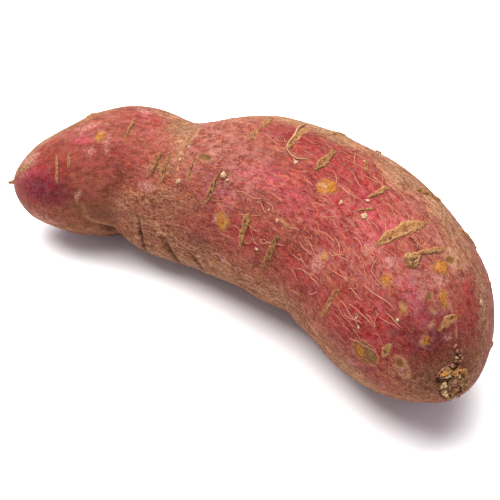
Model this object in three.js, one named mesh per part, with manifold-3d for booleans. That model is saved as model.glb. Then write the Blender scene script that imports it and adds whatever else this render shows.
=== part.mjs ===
// A Japanese sweet potato: one whole storage root, lying as it rests on a table.
// Sizes are in millimetres. +Z is up, and +X runs from the far tip to the stem end.
import * as THREE from "three";
import { mergeVertices } from "three/addons/utils/BufferGeometryUtils.js";
import Module from "manifold-3d";

const wasm = await Module();
wasm.setup();

// Where the centre line of the root runs, and how thick the root is there. The line blends
// smoothly between the stations, and starts and ends on the first and the last.
const STATIONS = [
  { x: -92.8, y: -25.8, z: 19.5, radius: 9.3 },
  { x: -78.3, y: -19, z: 21.5, radius: 16.5 },
  { x: -66.3, y: -9, z: 24, radius: 22.6 },
  { x: -51.3, y: 0.4, z: 24.4, radius: 24.5 },
  { x: -32.8, y: 1.4, z: 25.2, radius: 22.9 },
  { x: -10.3, y: 5.5, z: 29.2, radius: 29 },
  { x: 11.7, y: 8.5, z: 30.8, radius: 31.2 },
  { x: 34.2, y: 6, z: 30.8, radius: 30 },
  { x: 52.7, y: -2.5, z: 31, radius: 29 },
  { x: 71.2, y: -15, z: 30.2, radius: 27 },
  { x: 92.7, y: -30.5, z: 28.2, radius: 20 },
];

// Lengths over which the two ends close to their poles.
const TIP_LENGTH = 14;
const STEM_END_LENGTH = 34;

// Places on the root are given as "along", the distance down the centre line from the far tip, and
// "turn", the angle round it in degrees: 0 is the top, 90 faces -Y, 180 is the underside, -90 the back.
const SWELLINGS = [
  { along: 5, turn: 120, height: 0.4, reach: 8, spread: 60 },
  { along: 20, turn: 110, height: 1.8, reach: 10, spread: 50 },
  { along: 46, turn: -35, height: 2.4, reach: 14, spread: 45 },
  { along: 46, turn: 180, height: 0.4, reach: 9, spread: 36 },
  { along: 43, turn: 140, height: -2.8, reach: 6, spread: 28 },
  { along: 62, turn: 118, height: 1.2, reach: 9, spread: 30 },
  { along: 80, turn: -30, height: 1, reach: 14, spread: 36 },
  { along: 98, turn: -35, height: 0.8, reach: 14, spread: 45 },
  { along: 120, turn: 115, height: 1.2, reach: 14, spread: 50 },
  { along: 140, turn: -42, height: 0.5, reach: 18, spread: 30 },
  { along: 147, turn: 104, height: 1.6, reach: 9, spread: 34 },
  { along: 158, turn: 180, height: 2.6, reach: 13, spread: 36 },
  { along: 163, turn: 121, height: 1.5, reach: 9, spread: 30 },
  { along: 192, turn: 138, height: 1.2, reach: 10, spread: 34 },
];

// The shallow valley that runs slantwise round the viewer's side, between the far lobe and the body.
const VALLEY = { along: 52, turn: 55, slope: -0.27, depth: 1.4, reach: 8, spread: 50 };

// The fold where the body's near side overlaps the far lobe: it runs slantwise from one place, leaning
// this many degrees from straight down the root, and a degree of turn is this long. The lobe's side
// is hollowed and the body's side stands proud, from where the fold fades in to where it fades out.
const FOLD = {
  along: 31,
  turn: 93,
  lean: 28,
  perDegree: 0.42,
  depth: 1.6,
  hollow: 3.2,
  proud: 0.9,
  lip: 6,
  fadeIn: [-2, 14],
  fadeOut: [34, 50],
};

// Low waves in the flesh: height, turns of the wave round the root, its length down it, and its start.
const WAVES = [
  { height: 0.35, lobes: 3, length: 95, start: 20 },
  { height: 0.22, lobes: 5, length: 47, start: 140 },
  { height: 0.16, lobes: 8, length: 29, start: 75 },
];

// Rings down the root and sides round it.
const TIP_RINGS = 7;
const BODY_RINGS = 60;
const STEM_END_RINGS = 12;
const SIDES = 40;

// Corky lenticels on the top and the side towards -Y: where each starts and ends, and its width.
const LENTICELS = [
  { along: [22, 21.8], turn: [25, 57], width: 1.5 },
  { along: [26.5, 26], turn: [28, 42], width: 1.3 },
  { along: [48.3, 48], turn: [-4, 22], width: 1.4 },
  { along: [66.5, 66], turn: [24, 45], width: 1.3 },
  { along: [71, 71.8], turn: [24, 51], width: 1.5 },
  { along: [94, 91.6], turn: [38, 60], width: 1.9 },
  { along: [99.3, 98.7], turn: [-17, 11], width: 1.9 },
  { along: [111.3, 112.4], turn: [-16, 12], width: 2.7 },
  { along: [110, 109.8], turn: [57, 79], width: 2.6 },
  { along: [124.5, 126], turn: [-6, 18], width: 2.7 },
  { along: [128.8, 125.8], turn: [61, 86], width: 2.6 },
  { along: [146.6, 148.2], turn: [-7, 9], width: 1.7 },
  { along: [153.1, 151.4], turn: [12, 20], width: 1.2 },
  { along: [163.2, 166], turn: [-16, 24], width: 3.2 },
  { along: [168.9, 167.6], turn: [58, 84], width: 1.8 },
  { along: [173.8, 173.9], turn: [-16, 6], width: 2 },
  { along: [192.4, 193.6], turn: [-12, 13], width: 1.8 },
];
const LENTICEL_HEIGHT = 0.6;
const LENTICEL_SPLIT = 0.15;
const LENTICEL_ROOT = 1.8;

// Lenticels and creases narrow towards both ends, down to this share of their width.
const STRIP = { steps: 4, endShare: 0.3, fullness: 0.7 };

// The hidden sides carry the same marks, spread by a seeded draw.
const HIDDEN = {
  seed: 20,
  tries: 140,
  count: 18,
  along: [14, 192],
  turn: [-150, -30],
  gap: 15,
  length: [6, 15],
  width: [1.3, 2.6],
  slant: [-1.5, 1.5],
};

// Creases pinched into the hollow side near the waist.
const CREASES = [
  { along: [62.5, 64.5], turn: [88, 122], width: 1.6, depth: 1 },
  { along: [72.5, 74.5], turn: [100, 131], width: 1.8, depth: 1.2 },
  { along: [82, 84], turn: [108, 122], width: 1.6, depth: 0.9 },
  { along: [76, 76], turn: [-8, 20], width: 1.5, depth: 0.7 },
];
const CREASE_TOP = 0.8;

// The woody scar of the cut stem: a collar, a sunken middle, and knobs round it. It sits a little
// above the pole of the stem end, and to its left.
const SCAR = { width: 9.4, height: 11.6, sunk: 4, proud: 1.8, hollow: 1.2, sides: 9 };
const SCAR_OFFSET = { up: 3.2, side: 1.4, forward: -0.6 };
const SCAR_KNOBS = { count: 9, size: [1.1, 1.8], seed: 7 };
const SCAR_BEADS = [
  { along: 199, turn: 1, size: 1 },
  { along: 196.6, turn: -4, size: 0.8 },
];

// Knobs left where side roots broke off.
const KNOBS = [
  { along: 175, turn: 11, size: 2.1 },
  { along: 128, turn: -42, size: 1.2 },
];

// The stub of the thin tail root.
const TAIL = { base: 1.7, tip: 0.6, length: 3.2, sunk: 2.5, sides: 6 };

// Nothing hangs below the table: the underside is flattened where it touches.
const TABLE = { width: 260, thickness: 20 };

// Points closer than this are one point.
const WELD = 1e-4;

const UP = new THREE.Vector3(0, 0, 1);

// One measure of the stations, blended between the four nearest ones.
function blended(measure, t) {
  const last = STATIONS.length - 1;
  const place = THREE.MathUtils.clamp(t, 0, 1) * last;
  const before = Math.min(Math.floor(place), last - 1);
  const f = place - before;
  const at = (i) => {
    if (i < 0) {
      return 2 * STATIONS[0][measure] - STATIONS[1][measure];
    }
    if (i > last) {
      return 2 * STATIONS[last][measure] - STATIONS[last - 1][measure];
    }
    return STATIONS[i][measure];
  };
  const sum =
    (1 - f) ** 3 * at(before - 1) +
    (3 * f ** 3 - 6 * f ** 2 + 4) * at(before) +
    (-3 * f ** 3 + 3 * f ** 2 + 3 * f + 1) * at(before + 1) +
    f ** 3 * at(before + 2);
  return sum / 6;
}

class CentreLine extends THREE.Curve {
  getPoint(t, target = new THREE.Vector3()) {
    return target.set(blended("x", t), blended("y", t), blended("z", t));
  }
}

const centreLine = new CentreLine();
centreLine.arcLengthDivisions = 2000;
const LENGTH = centreLine.getLength();

// A repeatable stream of numbers from 0 to 1.
function drawsFrom(seed) {
  let state = seed >>> 0;
  return () => {
    state = (Math.imul(state, 1664525) + 1013904223) >>> 0;
    return state / 4294967296;
  };
}

function between([low, high], share) {
  return low + (high - low) * share;
}

// The smaller angle from one turn to another, in degrees.
function turnBetween(from, to) {
  return THREE.MathUtils.euclideanModulo(to - from + 180, 360) - 180;
}

function bell(distance, reach) {
  return Math.exp(-((distance / reach) ** 2));
}

// How far the ends have closed: 1 on the body, 0 at a pole.
function closing(along) {
  const towardsTip = Math.max(0, 1 - along / TIP_LENGTH);
  const towardsStem = Math.max(0, 1 - (LENGTH - along) / STEM_END_LENGTH);
  return Math.sqrt(Math.max(0, 1 - towardsTip ** 2)) * Math.sqrt(Math.max(0, 1 - towardsStem ** 2));
}

function foldHeight(along, turn) {
  const lean = THREE.MathUtils.degToRad(FOLD.lean);
  const x = along - FOLD.along;
  const y = turnBetween(FOLD.turn, turn) * FOLD.perDegree;
  const down = x * Math.cos(lean) + y * Math.sin(lean);
  const across = x * Math.sin(lean) - y * Math.cos(lean);
  const strength =
    THREE.MathUtils.smoothstep(down, ...FOLD.fadeIn) * (1 - THREE.MathUtils.smoothstep(down, ...FOLD.fadeOut));
  const lobeSide = FOLD.depth * bell(across + 0.8 * FOLD.hollow, FOLD.hollow);
  const bodySide = FOLD.proud * bell(across - 0.6 * FOLD.lip, FOLD.lip);
  return strength * (bodySide - lobeSide);
}

function swelling(along, turn) {
  let height = 0;
  for (const s of SWELLINGS) {
    height += s.height * bell(along - s.along, s.reach) * bell(turnBetween(s.turn, turn), s.spread);
  }
  height += foldHeight(along, turn);
  const aside = turnBetween(VALLEY.turn, turn);
  const bed = VALLEY.along + VALLEY.slope * aside;
  height -= VALLEY.depth * bell(along - bed, VALLEY.reach) * bell(aside, VALLEY.spread);
  for (const w of WAVES) {
    const phase = THREE.MathUtils.degToRad(w.lobes * turn + w.start + (360 * along) / w.length);
    height += w.height * Math.cos(phase);
  }
  return height;
}

// The centre, the direction down the root, and the up and side directions of its section.
function section(along) {
  const t = centreLine.getUtoTmapping(THREE.MathUtils.clamp(along / LENGTH, 0, 1));
  const forward = centreLine.getTangent(t);
  const up = UP.clone().addScaledVector(forward, -UP.dot(forward)).normalize();
  const side = forward.clone().cross(up);
  return { centre: centreLine.getPoint(t), radius: blended("radius", t), forward, up, side };
}

// A point on the skin, or "lift" above it.
function skinPoint(along, turn, lift = 0) {
  const { centre, radius, up, side } = section(along);
  const close = closing(along);
  const reach = radius * close + swelling(along, turn) * Math.sqrt(close) + lift;
  const angle = THREE.MathUtils.degToRad(turn);
  return centre.addScaledVector(up, reach * Math.cos(angle)).addScaledVector(side, reach * Math.sin(angle));
}

function solidOf(geometry) {
  const plain = geometry.clone();
  plain.deleteAttribute("normal");
  plain.deleteAttribute("uv");
  const merged = mergeVertices(plain, WELD);
  const vertProperties = new Float32Array(merged.attributes.position.array);
  const triVerts = new Uint32Array(merged.index.array);
  return new wasm.Manifold(new wasm.Mesh({ numProp: 3, vertProperties, triVerts }));
}

// A closed solid through rings of points, with its two ends capped. Seen along the way that the
// rings follow each other, the points of a ring run clockwise.
function loftSolid(rings) {
  const size = rings[0].length;
  const points = rings.flat();
  const faces = [];
  for (let r = 0; r + 1 < rings.length; r += 1) {
    for (let k = 0; k < size; k += 1) {
      const next = (k + 1) % size;
      const a = r * size + k;
      const b = (r + 1) * size + k;
      const c = (r + 1) * size + next;
      const d = r * size + next;
      faces.push(a, b, c, a, c, d);
    }
  }
  const last = (rings.length - 1) * size;
  for (let k = 1; k + 1 < size; k += 1) {
    faces.push(0, k, k + 1);
    faces.push(last, last + k + 1, last + k);
  }
  const geometry = new THREE.BufferGeometry().setFromPoints(points);
  geometry.setIndex(faces);
  return solidOf(geometry);
}

// Distances down the root at which the rings stand, close together where an end closes.
function ringPlaces() {
  const places = [];
  for (let i = 1; i <= TIP_RINGS; i += 1) {
    places.push(TIP_LENGTH * (1 - Math.cos((i / TIP_RINGS) * (Math.PI / 2))));
  }
  const body = LENGTH - TIP_LENGTH - STEM_END_LENGTH;
  for (let i = 1; i < BODY_RINGS; i += 1) {
    places.push(TIP_LENGTH + (body * i) / BODY_RINGS);
  }
  for (let i = STEM_END_RINGS; i >= 1; i -= 1) {
    places.push(LENGTH - STEM_END_LENGTH * (1 - Math.cos((i / STEM_END_RINGS) * (Math.PI / 2))));
  }
  return places;
}

function fleshSolid() {
  const places = ringPlaces();
  const points = [section(0).centre];
  for (const along of places) {
    for (let k = 0; k < SIDES; k += 1) {
      points.push(skinPoint(along, (360 * k) / SIDES));
    }
  }
  points.push(section(LENGTH).centre);
  const faces = [];
  const stemPole = points.length - 1;
  const lastRing = 1 + (places.length - 1) * SIDES;
  for (let k = 0; k < SIDES; k += 1) {
    const next = (k + 1) % SIDES;
    faces.push(0, 1 + next, 1 + k);
    faces.push(stemPole, lastRing + k, lastRing + next);
    for (let r = 0; r + 1 < places.length; r += 1) {
      const ring = 1 + r * SIDES;
      faces.push(ring + k, ring + SIDES + next, ring + SIDES + k);
      faces.push(ring + k, ring + next, ring + SIDES + next);
    }
  }
  const geometry = new THREE.BufferGeometry().setFromPoints(points);
  geometry.setIndex(faces);
  return solidOf(geometry);
}

// A strip that follows the skin from one place to another. The profile gives points across it as
// a share of its half width and a lift above the skin, and the strip narrows towards its two ends.
function stripSolid({ along, turn, width }, profile) {
  const rings = [];
  for (let i = 0; i <= STRIP.steps; i += 1) {
    const share = i / STRIP.steps;
    const taper = between([STRIP.endShare, 1], Math.sin(Math.PI * share) ** STRIP.fullness);
    const middle = between(along, share);
    const angle = between(turn, share);
    rings.push(
      profile.map(([across, lift]) => {
        const above = lift > 0 ? lift * taper : lift;
        return skinPoint(middle + (across * width * taper) / 2, angle, above);
      }),
    );
  }
  return loftSolid(rings);
}

// Two low corky lips with a split between them, rooted well below the skin.
function lenticelSolid(mark) {
  return stripSolid(mark, [
    [-1, -0.4],
    [-0.5, LENTICEL_HEIGHT],
    [0, LENTICEL_SPLIT],
    [0.5, LENTICEL_HEIGHT],
    [1, -0.4],
    [0, -LENTICEL_ROOT],
  ]);
}

function creaseSolid(mark) {
  return stripSolid(mark, [
    [-1, CREASE_TOP],
    [1, CREASE_TOP],
    [0.7, 0],
    [0, -mark.depth],
    [-0.7, 0],
  ]);
}

// Marks for the hidden sides: a place is drawn again if it comes too near another mark.
function hiddenLenticels() {
  const draw = drawsFrom(HIDDEN.seed);
  const marks = [];
  for (let i = 0; i < HIDDEN.tries && marks.length < HIDDEN.count; i += 1) {
    const along = between(HIDDEN.along, draw());
    const turn = between(HIDDEN.turn, draw());
    const length = between(HIDDEN.length, draw());
    const width = between(HIDDEN.width, draw());
    const slant = between(HIDDEN.slant, draw());
    const spread = THREE.MathUtils.radToDeg(length / section(along).radius);
    const middle = skinPoint(along, turn);
    const clear = marks.every((mark) => mark.middle.distanceTo(middle) > HIDDEN.gap);
    if (clear) {
      marks.push({
        middle,
        along: [along - slant, along + slant],
        turn: [turn - spread / 2, turn + spread / 2],
        width,
      });
    }
  }
  return marks;
}

function knobSolid(place, size) {
  const knob = new THREE.IcosahedronGeometry(size, 0);
  knob.translate(place.x, place.y, place.z);
  return solidOf(knob);
}

// Turns a shape made round +Z to point along a direction, and puts it in its place.
function aim(geometry, direction, place) {
  geometry.applyQuaternion(new THREE.Quaternion().setFromUnitVectors(UP, direction));
  geometry.translate(place.x, place.y, place.z);
  return geometry;
}

function stemScarSolids() {
  const { centre, forward, up, side } = section(LENGTH);
  centre
    .addScaledVector(up, SCAR_OFFSET.up)
    .addScaledVector(side, SCAR_OFFSET.side)
    .addScaledVector(forward, SCAR_OFFSET.forward);
  const outline = [
    [0, -SCAR.sunk],
    [1.12, -SCAR.sunk],
    [1.06, 0.4],
    [0.82, SCAR.proud],
    [0.55, SCAR.proud - 0.3],
    [0.42, SCAR.proud - SCAR.hollow],
    [0, SCAR.proud - SCAR.hollow],
  ];
  const collar = new THREE.LatheGeometry(
    outline.map(([across, lift]) => new THREE.Vector2((across * SCAR.width) / 2, lift)),
    SCAR.sides,
  );
  const upright = new THREE.Matrix4().makeBasis(side, forward, up);
  collar.scale(1, 1, SCAR.height / SCAR.width);
  collar.applyMatrix4(upright);
  collar.translate(centre.x, centre.y, centre.z);
  const solids = [solidOf(collar)];
  const draw = drawsFrom(SCAR_KNOBS.seed);
  for (let i = 0; i < SCAR_KNOBS.count; i += 1) {
    const angle = (2 * Math.PI * (i + 0.6 * draw())) / SCAR_KNOBS.count;
    const share = between([0.3, 0.42], draw());
    const lift = between([0.6, SCAR.proud], draw());
    const place = centre
      .clone()
      .addScaledVector(side, share * SCAR.width * Math.cos(angle))
      .addScaledVector(up, share * SCAR.height * Math.sin(angle))
      .addScaledVector(forward, lift);
    solids.push(knobSolid(place, between(SCAR_KNOBS.size, draw())));
  }
  for (const bead of SCAR_BEADS) {
    solids.push(knobSolid(skinPoint(bead.along, bead.turn), bead.size));
  }
  return solids;
}

function tailSolid() {
  const { centre, forward } = section(0);
  const length = TAIL.sunk + TAIL.length;
  const stub = new THREE.CylinderGeometry(TAIL.tip, TAIL.base, length, TAIL.sides);
  stub.rotateX(Math.PI / 2);
  stub.translate(0, 0, length / 2 - TAIL.sunk);
  return solidOf(aim(stub, forward.negate(), centre));
}

function tableSolid() {
  const box = new THREE.BoxGeometry(TABLE.width, TABLE.width, TABLE.thickness);
  box.translate(0, 0, -TABLE.thickness / 2);
  return solidOf(box);
}

function rootSolid() {
  let root = fleshSolid();
  const grown = [
    ...LENTICELS.map(lenticelSolid),
    ...hiddenLenticels().map(lenticelSolid),
    ...stemScarSolids(),
    ...KNOBS.map(({ along, turn, size }) => knobSolid(skinPoint(along, turn, -0.2 * size), size)),
    tailSolid(),
  ];
  for (const solid of grown) {
    root = root.add(solid);
  }
  for (const solid of [...CREASES.map(creaseSolid), tableSolid()]) {
    root = root.subtract(solid);
  }
  return root;
}

function geometryOf(solid) {
  const { vertProperties, triVerts, numProp } = solid.getMesh();
  const geometry = new THREE.BufferGeometry();
  geometry.setAttribute("position", new THREE.BufferAttribute(new Float32Array(vertProperties), numProp));
  geometry.setIndex(new THREE.BufferAttribute(new Uint32Array(triVerts), 1));
  geometry.computeVertexNormals();
  return geometry;
}

const skin = new THREE.MeshStandardMaterial({ color: 0x97474d, roughness: 0.8, metalness: 0 });
const sweetPotato = new THREE.Mesh(geometryOf(rootSolid()), skin);
sweetPotato.name = "sweet_potato";

const part = new THREE.Group();
part.add(sweetPotato);

export default part;
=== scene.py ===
"""Dresses a Japanese sweet potato: skin, corky marks, fibres and the woody stem scar, round its solid."""
import math

import bpy
import numpy as np
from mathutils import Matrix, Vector, noise


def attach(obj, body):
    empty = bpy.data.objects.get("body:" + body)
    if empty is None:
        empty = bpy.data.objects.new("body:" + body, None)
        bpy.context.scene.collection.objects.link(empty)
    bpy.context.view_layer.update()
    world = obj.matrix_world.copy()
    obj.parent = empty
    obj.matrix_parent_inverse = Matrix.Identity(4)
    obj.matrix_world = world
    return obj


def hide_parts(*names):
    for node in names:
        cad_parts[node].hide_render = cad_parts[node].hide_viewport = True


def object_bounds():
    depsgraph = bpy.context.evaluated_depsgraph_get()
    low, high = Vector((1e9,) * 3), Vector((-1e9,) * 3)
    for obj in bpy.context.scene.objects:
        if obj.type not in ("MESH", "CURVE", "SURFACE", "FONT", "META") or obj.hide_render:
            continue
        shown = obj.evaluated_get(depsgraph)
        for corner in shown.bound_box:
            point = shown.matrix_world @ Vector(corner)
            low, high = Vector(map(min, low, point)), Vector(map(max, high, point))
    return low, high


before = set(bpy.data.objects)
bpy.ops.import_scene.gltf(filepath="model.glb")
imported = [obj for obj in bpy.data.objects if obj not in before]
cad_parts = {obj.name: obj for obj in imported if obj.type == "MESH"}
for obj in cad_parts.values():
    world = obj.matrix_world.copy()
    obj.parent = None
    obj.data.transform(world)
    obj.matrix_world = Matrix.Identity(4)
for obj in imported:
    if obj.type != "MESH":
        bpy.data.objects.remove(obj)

SOLID_LOW, SOLID_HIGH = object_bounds()
MM = 0.001

# The root's own form, in millimetres, as its solid has it. The centre line blends smoothly between
# stations of x, y, z and radius, from the far tip to the stem end.
STATIONS = np.array([
    (-92.8, -25.8, 19.5, 9.3), (-78.3, -19, 21.5, 16.5), (-66.3, -9, 24, 22.6), (-51.3, 0.4, 24.4, 24.5),
    (-32.8, 1.4, 25.2, 22.9), (-10.3, 5.5, 29.2, 29), (11.7, 8.5, 30.8, 31.2), (34.2, 6, 30.8, 30),
    (52.7, -2.5, 31, 29), (71.2, -15, 30.2, 27), (92.7, -30.5, 28.2, 20),
])
TIP_LENGTH = 14
STEM_END_LENGTH = 34

# A place on the skin is "along", the distance down the centre line from the far tip in millimetres,
# and "turn", the angle round it in degrees: 0 is the top, 90 faces -Y, 180 is the underside.
# Swellings: along, turn, height, reach along, spread round.
SWELLINGS = [
    (5, 120, 0.4, 8, 60), (20, 110, 1.8, 10, 50), (46, -35, 2.4, 14, 45), (46, 180, 0.4, 9, 36),
    (43, 140, -2.8, 6, 28), (62, 118, 1.2, 9, 30), (80, -30, 1, 14, 36), (98, -35, 0.8, 14, 45),
    (120, 115, 1.2, 14, 50), (140, -42, 0.5, 18, 30), (147, 104, 1.6, 9, 34), (158, 180, 2.6, 13, 36),
    (163, 121, 1.5, 9, 30), (192, 138, 1.2, 10, 34),
]
VALLEY = {"along": 52, "turn": 55, "slope": -0.27, "depth": 1.4, "reach": 8, "spread": 50}

# The fold where the body's near side overlaps the far lobe.
FOLD = {
    "along": 31, "turn": 93, "lean": 28, "per_degree": 0.42, "depth": 1.6, "hollow": 3.2,
    "proud": 0.9, "lip": 6, "fade_in": (-2, 14), "fade_out": (34, 50),
}

# The seeded generator's factor, addend and modulus, as the solid has them.
GENERATOR = (1664525, 1013904223, 2**32)

# Low waves in the flesh: height, turns of the wave round the root, its length down it, its start.
WAVES = [(0.35, 3, 95, 20), (0.22, 5, 47, 140), (0.16, 8, 29, 75)]

# Corky lenticels: where each starts and ends along and round the root, its width at five places
# down its length, and its tone from 0, pale tan, to 1, dark olive.
LENTICELS = [
    ((22, 21.6), (24, 57), (0.5, 0.8, 0.9, 1, 0.6), 0.12),
    ((26.4, 26), (27, 43), (0.5, 0.8, 1, 0.9, 0.5), 0.2),
    ((48.3, 47.8), (-4, 21), (0.5, 0.9, 1, 0.8, 0.5), 0.35),
    ((67.4, 66.4), (24, 45), (0.5, 1, 1.3, 1, 0.5), 0.8),
    ((71, 71.8), (24, 51), (0.5, 1.2, 1, 1.5, 0.6), 0.55),
    ((82.2, 82.8), (31, 44), (0.6, 1, 0.7, 1.3, 0.8), 0.5),
    ((93.7, 91.2), (37, 60), (0.5, 1.1, 2.1, 1.7, 0.4), 0.6),
    ((99.4, 98.6), (-18, 11), (1.3, 2, 0.8, 1.6, 0.8), 0.2),
    ((111, 112.4), (-17, 11), (2, 2.5, 2.2, 1.8, 1), 0.16),
    ((110.4, 109.7), (57, 80), (2, 3.2, 2.7, 1.9, 1.2), 0.5),
    ((124.6, 126), (-6, 17), (0.7, 1.7, 3.1, 2.4, 0.7), 0.7),
    ((129.3, 125.8), (61, 86), (1.9, 3, 2.7, 2.4, 1.3), 0.85),
    ((133.2, 138.6), (-14, -4), (0.8, 1.1, 1.3, 1.5, 0.8), 0.75),
    ((146.9, 148), (-8, 9), (1.5, 1.9, 1.5, 1, 0.5), 0.25),
    ((153.4, 151.4), (11, 20), (0.7, 1, 0.9, 0.8, 0.6), 0),
    ((163.4, 166.2), (-16, 24), (0.8, 3.2, 3.7, 2.9, 1), 0.14),
    ((168.9, 167.7), (58, 84), (1.4, 1.9, 1.9, 1.6, 0.8), 0.4),
    ((174.3, 173.9), (-14, 4), (1.1, 1.7, 1.5, 1.1, 0.8), 0.15),
    ((190.5, 190.4), (56, 74), (0.4, 1.2, 1.8, 1.3, 0.5), 0.5),
    ((191.9, 193.9), (-11, 13), (0.9, 1.8, 1.7, 1.1, 0.5), 0.3),
]

# The mesh of a lenticel, and its form: its half width as a share of the width, its height, how
# deep it is sunk, how wide its split is, and how far apart its cracks stand.
BAR = {
    "segments": 22, "rings": 64, "half": 0.62, "height": 0.72, "sunk": 0.9, "split": 0.2,
    "crack_gap": 1.25,
}

# Hidden lenticels, drawn by the same seed as in the solid. The ranges are those of along, turn,
# length, width and slant.
HIDDEN = {"seed": 20, "tries": 140, "count": 18, "gap": 15}
HIDDEN_RANGES = [(14, 192), (-150, -30), (6, 15), (1.3, 2.6), (-1.5, 1.5)]

# Deep pits in the lenticels, painted dark as shade: along, turn, radius.
PITS = [
    (99.6, -2.8, 1), (110.6, -8.5, 0.5), (112.1, -1, 0.6), (113.4, 3.6, 0.6), (111.2, -4.5, 0.3),
    (111.8, 5.5, 0.3), (125.2, 6, 0.6), (127.3, 8, 0.6), (125.8, 10.2, 0.6), (127.2, 3, 0.4),
    (138.3, -5, 0.8), (135.6, -9, 0.4), (165.4, 2.6, 1), (163.6, -5, 0.5), (166.3, 14.2, 0.6),
    (166.2, 17, 0.5), (164.6, -8, 0.4), (192.2, -5, 0.5), (192.4, -3.4, 0.5), (109.9, 62.6, 0.5),
    (108.4, 66.6, 0.8), (112.6, 71, 0.5), (111.4, 76.6, 0.8), (110.4, 70, 0.4), (129.9, 64, 0.9),
    (127.4, 68, 0.5), (128.1, 78.6, 0.8), (127.9, 74, 0.5), (126.4, 84.5, 0.6), (72.4, 42, 0.8),
    (67.4, 33, 0.4), (93, 51, 0.6), (92.3, 53.4, 0.4), (169.9, 60, 0.5), (169.6, 66, 0.4),
    (190.4, 66.4, 0.5), (190, 72, 0.4), (83.2, 42.6, 0.6),
]

# Creases pinched into the hollow side and the waist: where each starts and ends, width, depth. Their floors
# are painted dark brown, as shade.
CREASES = [
    ((63.4, 63), (84, 128), 1.2, 1), ((72.4, 74.2), (98, 140), 2, 1.7),
    ((82.6, 86.6), (104, 124), 1.8, 0.9), ((104, 119), (114.6, 114), 1.2, 0.8),
    ((135, 150), (112, 114), 1, 0.5), ((76, 77.5), (-8, 24), 1.2, 0.3), ((69, 70.5), (62, 84), 0.8, 0.2),
    ((95, 98.4), (92, 96), 1, 0.4), ((57, 59), (96, 118), 0.9, 0.35), ((79, 80.4), (98, 116), 0.9, 0.35),
]

# Healed scabs and old scrapes on the skin: how far they stand proud, or lie sunken, and their
# outlines, each through its own corners of along and turn.
SCABS = {
    "ochre_edge": (0.24, [
        [(130.2, 21), (131.9, 15.9), (135, 14.7), (138.8, 18.8), (136.9, 23.3), (133.1, 27), (130.8, 24)],
        [(96.2, 63.4), (99, 61.8), (101.2, 63.4), (102.9, 67), (101.2, 71), (99, 74.8), (97.4, 70.6)],
        [(177.2, -9.5), (178.8, -12), (181.6, -9.8), (181, -5.5), (179.3, -1.8), (178, -3.5)],
        [(185.8, -6.3), (187.6, -4), (189.7, -3.5), (189.6, -0.5), (187.3, 2.2), (185.2, -1.5)],
        [(184.1, 29.6), (185.4, 26.4), (187, 30.4), (186.4, 33.2), (185.4, 31)],
        [(175.4, 27), (177.4, 25.6), (179, 30.5), (178.4, 33.3), (176.2, 32)],
        [(194, 24), (195.2, 23.2), (195.4, 29), (194.9, 35), (194, 28.4)],
        [(35.2, 15), (37, 11), (39, 13), (38.8, 18), (36.6, 22.4), (35.4, 20)],
        [(182, 80.3), (183.8, 76.8), (185, 80.5), (186, 86.5), (183.8, 87.2)],
        [(38.2, -2.4), (39, -1), (38.8, 2.6), (38.1, 1)], [(47.2, 17), (48.2, 13), (49, 18), (48, 21)],
        [(82, 42.4), (83.8, 40.6), (84.2, 43.4), (82.6, 44.8)], [(94.6, 99.4), (96.6, 98.8), (96.2, 101.4)],
        [(154.2, 53.6), (155, 50), (157.2, 51.4), (156.6, 55)],
    ]),
    "brown_edge": (-0.28, [
        [(181.6, 80.3), (183.8, 73), (187.2, 71.7), (189.4, 77.3), (189.4, 86), (186.6, 89.7), (183, 87.7)],
        [(184.8, 8.6), (185.8, 6.2), (187, 8.6), (186.4, 11.6)],
        [(188.8, 7), (189.4, 5.8), (189.9, 8.4), (189.2, 10.4)],
        [(193.2, 64), (194.8, 62.7), (195.6, 68.3), (194.4, 71.7)],
        [(83.2, 25.4), (85.6, 23.7), (88.6, 26), (89.2, 29.2), (86.4, 29.4), (84.4, 27.6)],
        [(176, -17.5), (177.4, -20.5), (178.7, -16), (178, -12.6), (176.6, -13)],
        [(82.4, 29), (83.2, 28.8), (83.3, 30.8), (82.5, 31)],
    ]),
    "pale_edge": (0.05, [
        [(32.2, 28), (34.8, 26), (35.8, 31), (34.2, 35.5), (32.6, 33)],
        [(38.4, 18), (40.8, 15), (42, 20), (40.2, 27), (38.6, 25)],
        [(46, -24), (50, -22), (51.6, -16), (49, -13), (46.4, -17)],
        [(7, 14), (12, 9), (15, 15), (12, 24), (8.4, 26)],
        [(194.8, 73), (196, 69.5), (197, 76), (195.9, 78.6)], [(195.2, 4), (196.8, 0), (197.2, 5), (196, 9)],
        [(183.3, -9.6), (184.3, -5), (183.2, 2.6), (181.4, 2.2), (180.9, -3), (182, -7)],
        [(95.2, 64), (97.2, 63.4), (98.4, 67.4), (97, 71), (95.4, 69)],
        [(153.6, 55), (158, 54), (158, 62), (155.4, 66), (151.6, 61)],
        [(61.6, 55), (66, 52.6), (70, 54), (68, 58.6), (63, 59)],
        [(86.8, 20), (90, 21), (90.6, 26), (89.4, 27), (87.4, 24)],
        [(82, 31), (83.4, 31), (83.2, 38), (82.2, 38)],
        [(27.2, 71), (28.6, 66), (30, 65), (29.4, 71), (27.6, 74)],
        [(8, 8), (13, 17), (14, 27), (11.4, 28), (8, 20)], [(29, 0), (34, -4), (37, -2), (33, 6), (30, 8)],
        [(171, 20), (173.6, 18.6), (175.6, 21), (174.4, 24.4), (171.4, 24.6)],
        [(164, 27), (166.4, 26.6), (166.6, 31.4), (164.4, 31.6)],
        [(40, 27), (41.6, 26), (41.4, 33), (40, 34)], [(98, 93), (100.4, 92), (101, 96.4), (98.8, 97.6)],
        [(10, 100), (16, 96), (19, 106), (12, 116)], [(46, 76), (52, 75.6), (56, 78), (48, 78.6)],
        [(175.8, 34.6), (177, 34), (177, 38), (175.6, 38.4)],
        [(152.8, 51), (156.4, 50.4), (157.2, 53.4), (155, 55.6), (153.4, 54)],
    ]),
}

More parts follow.
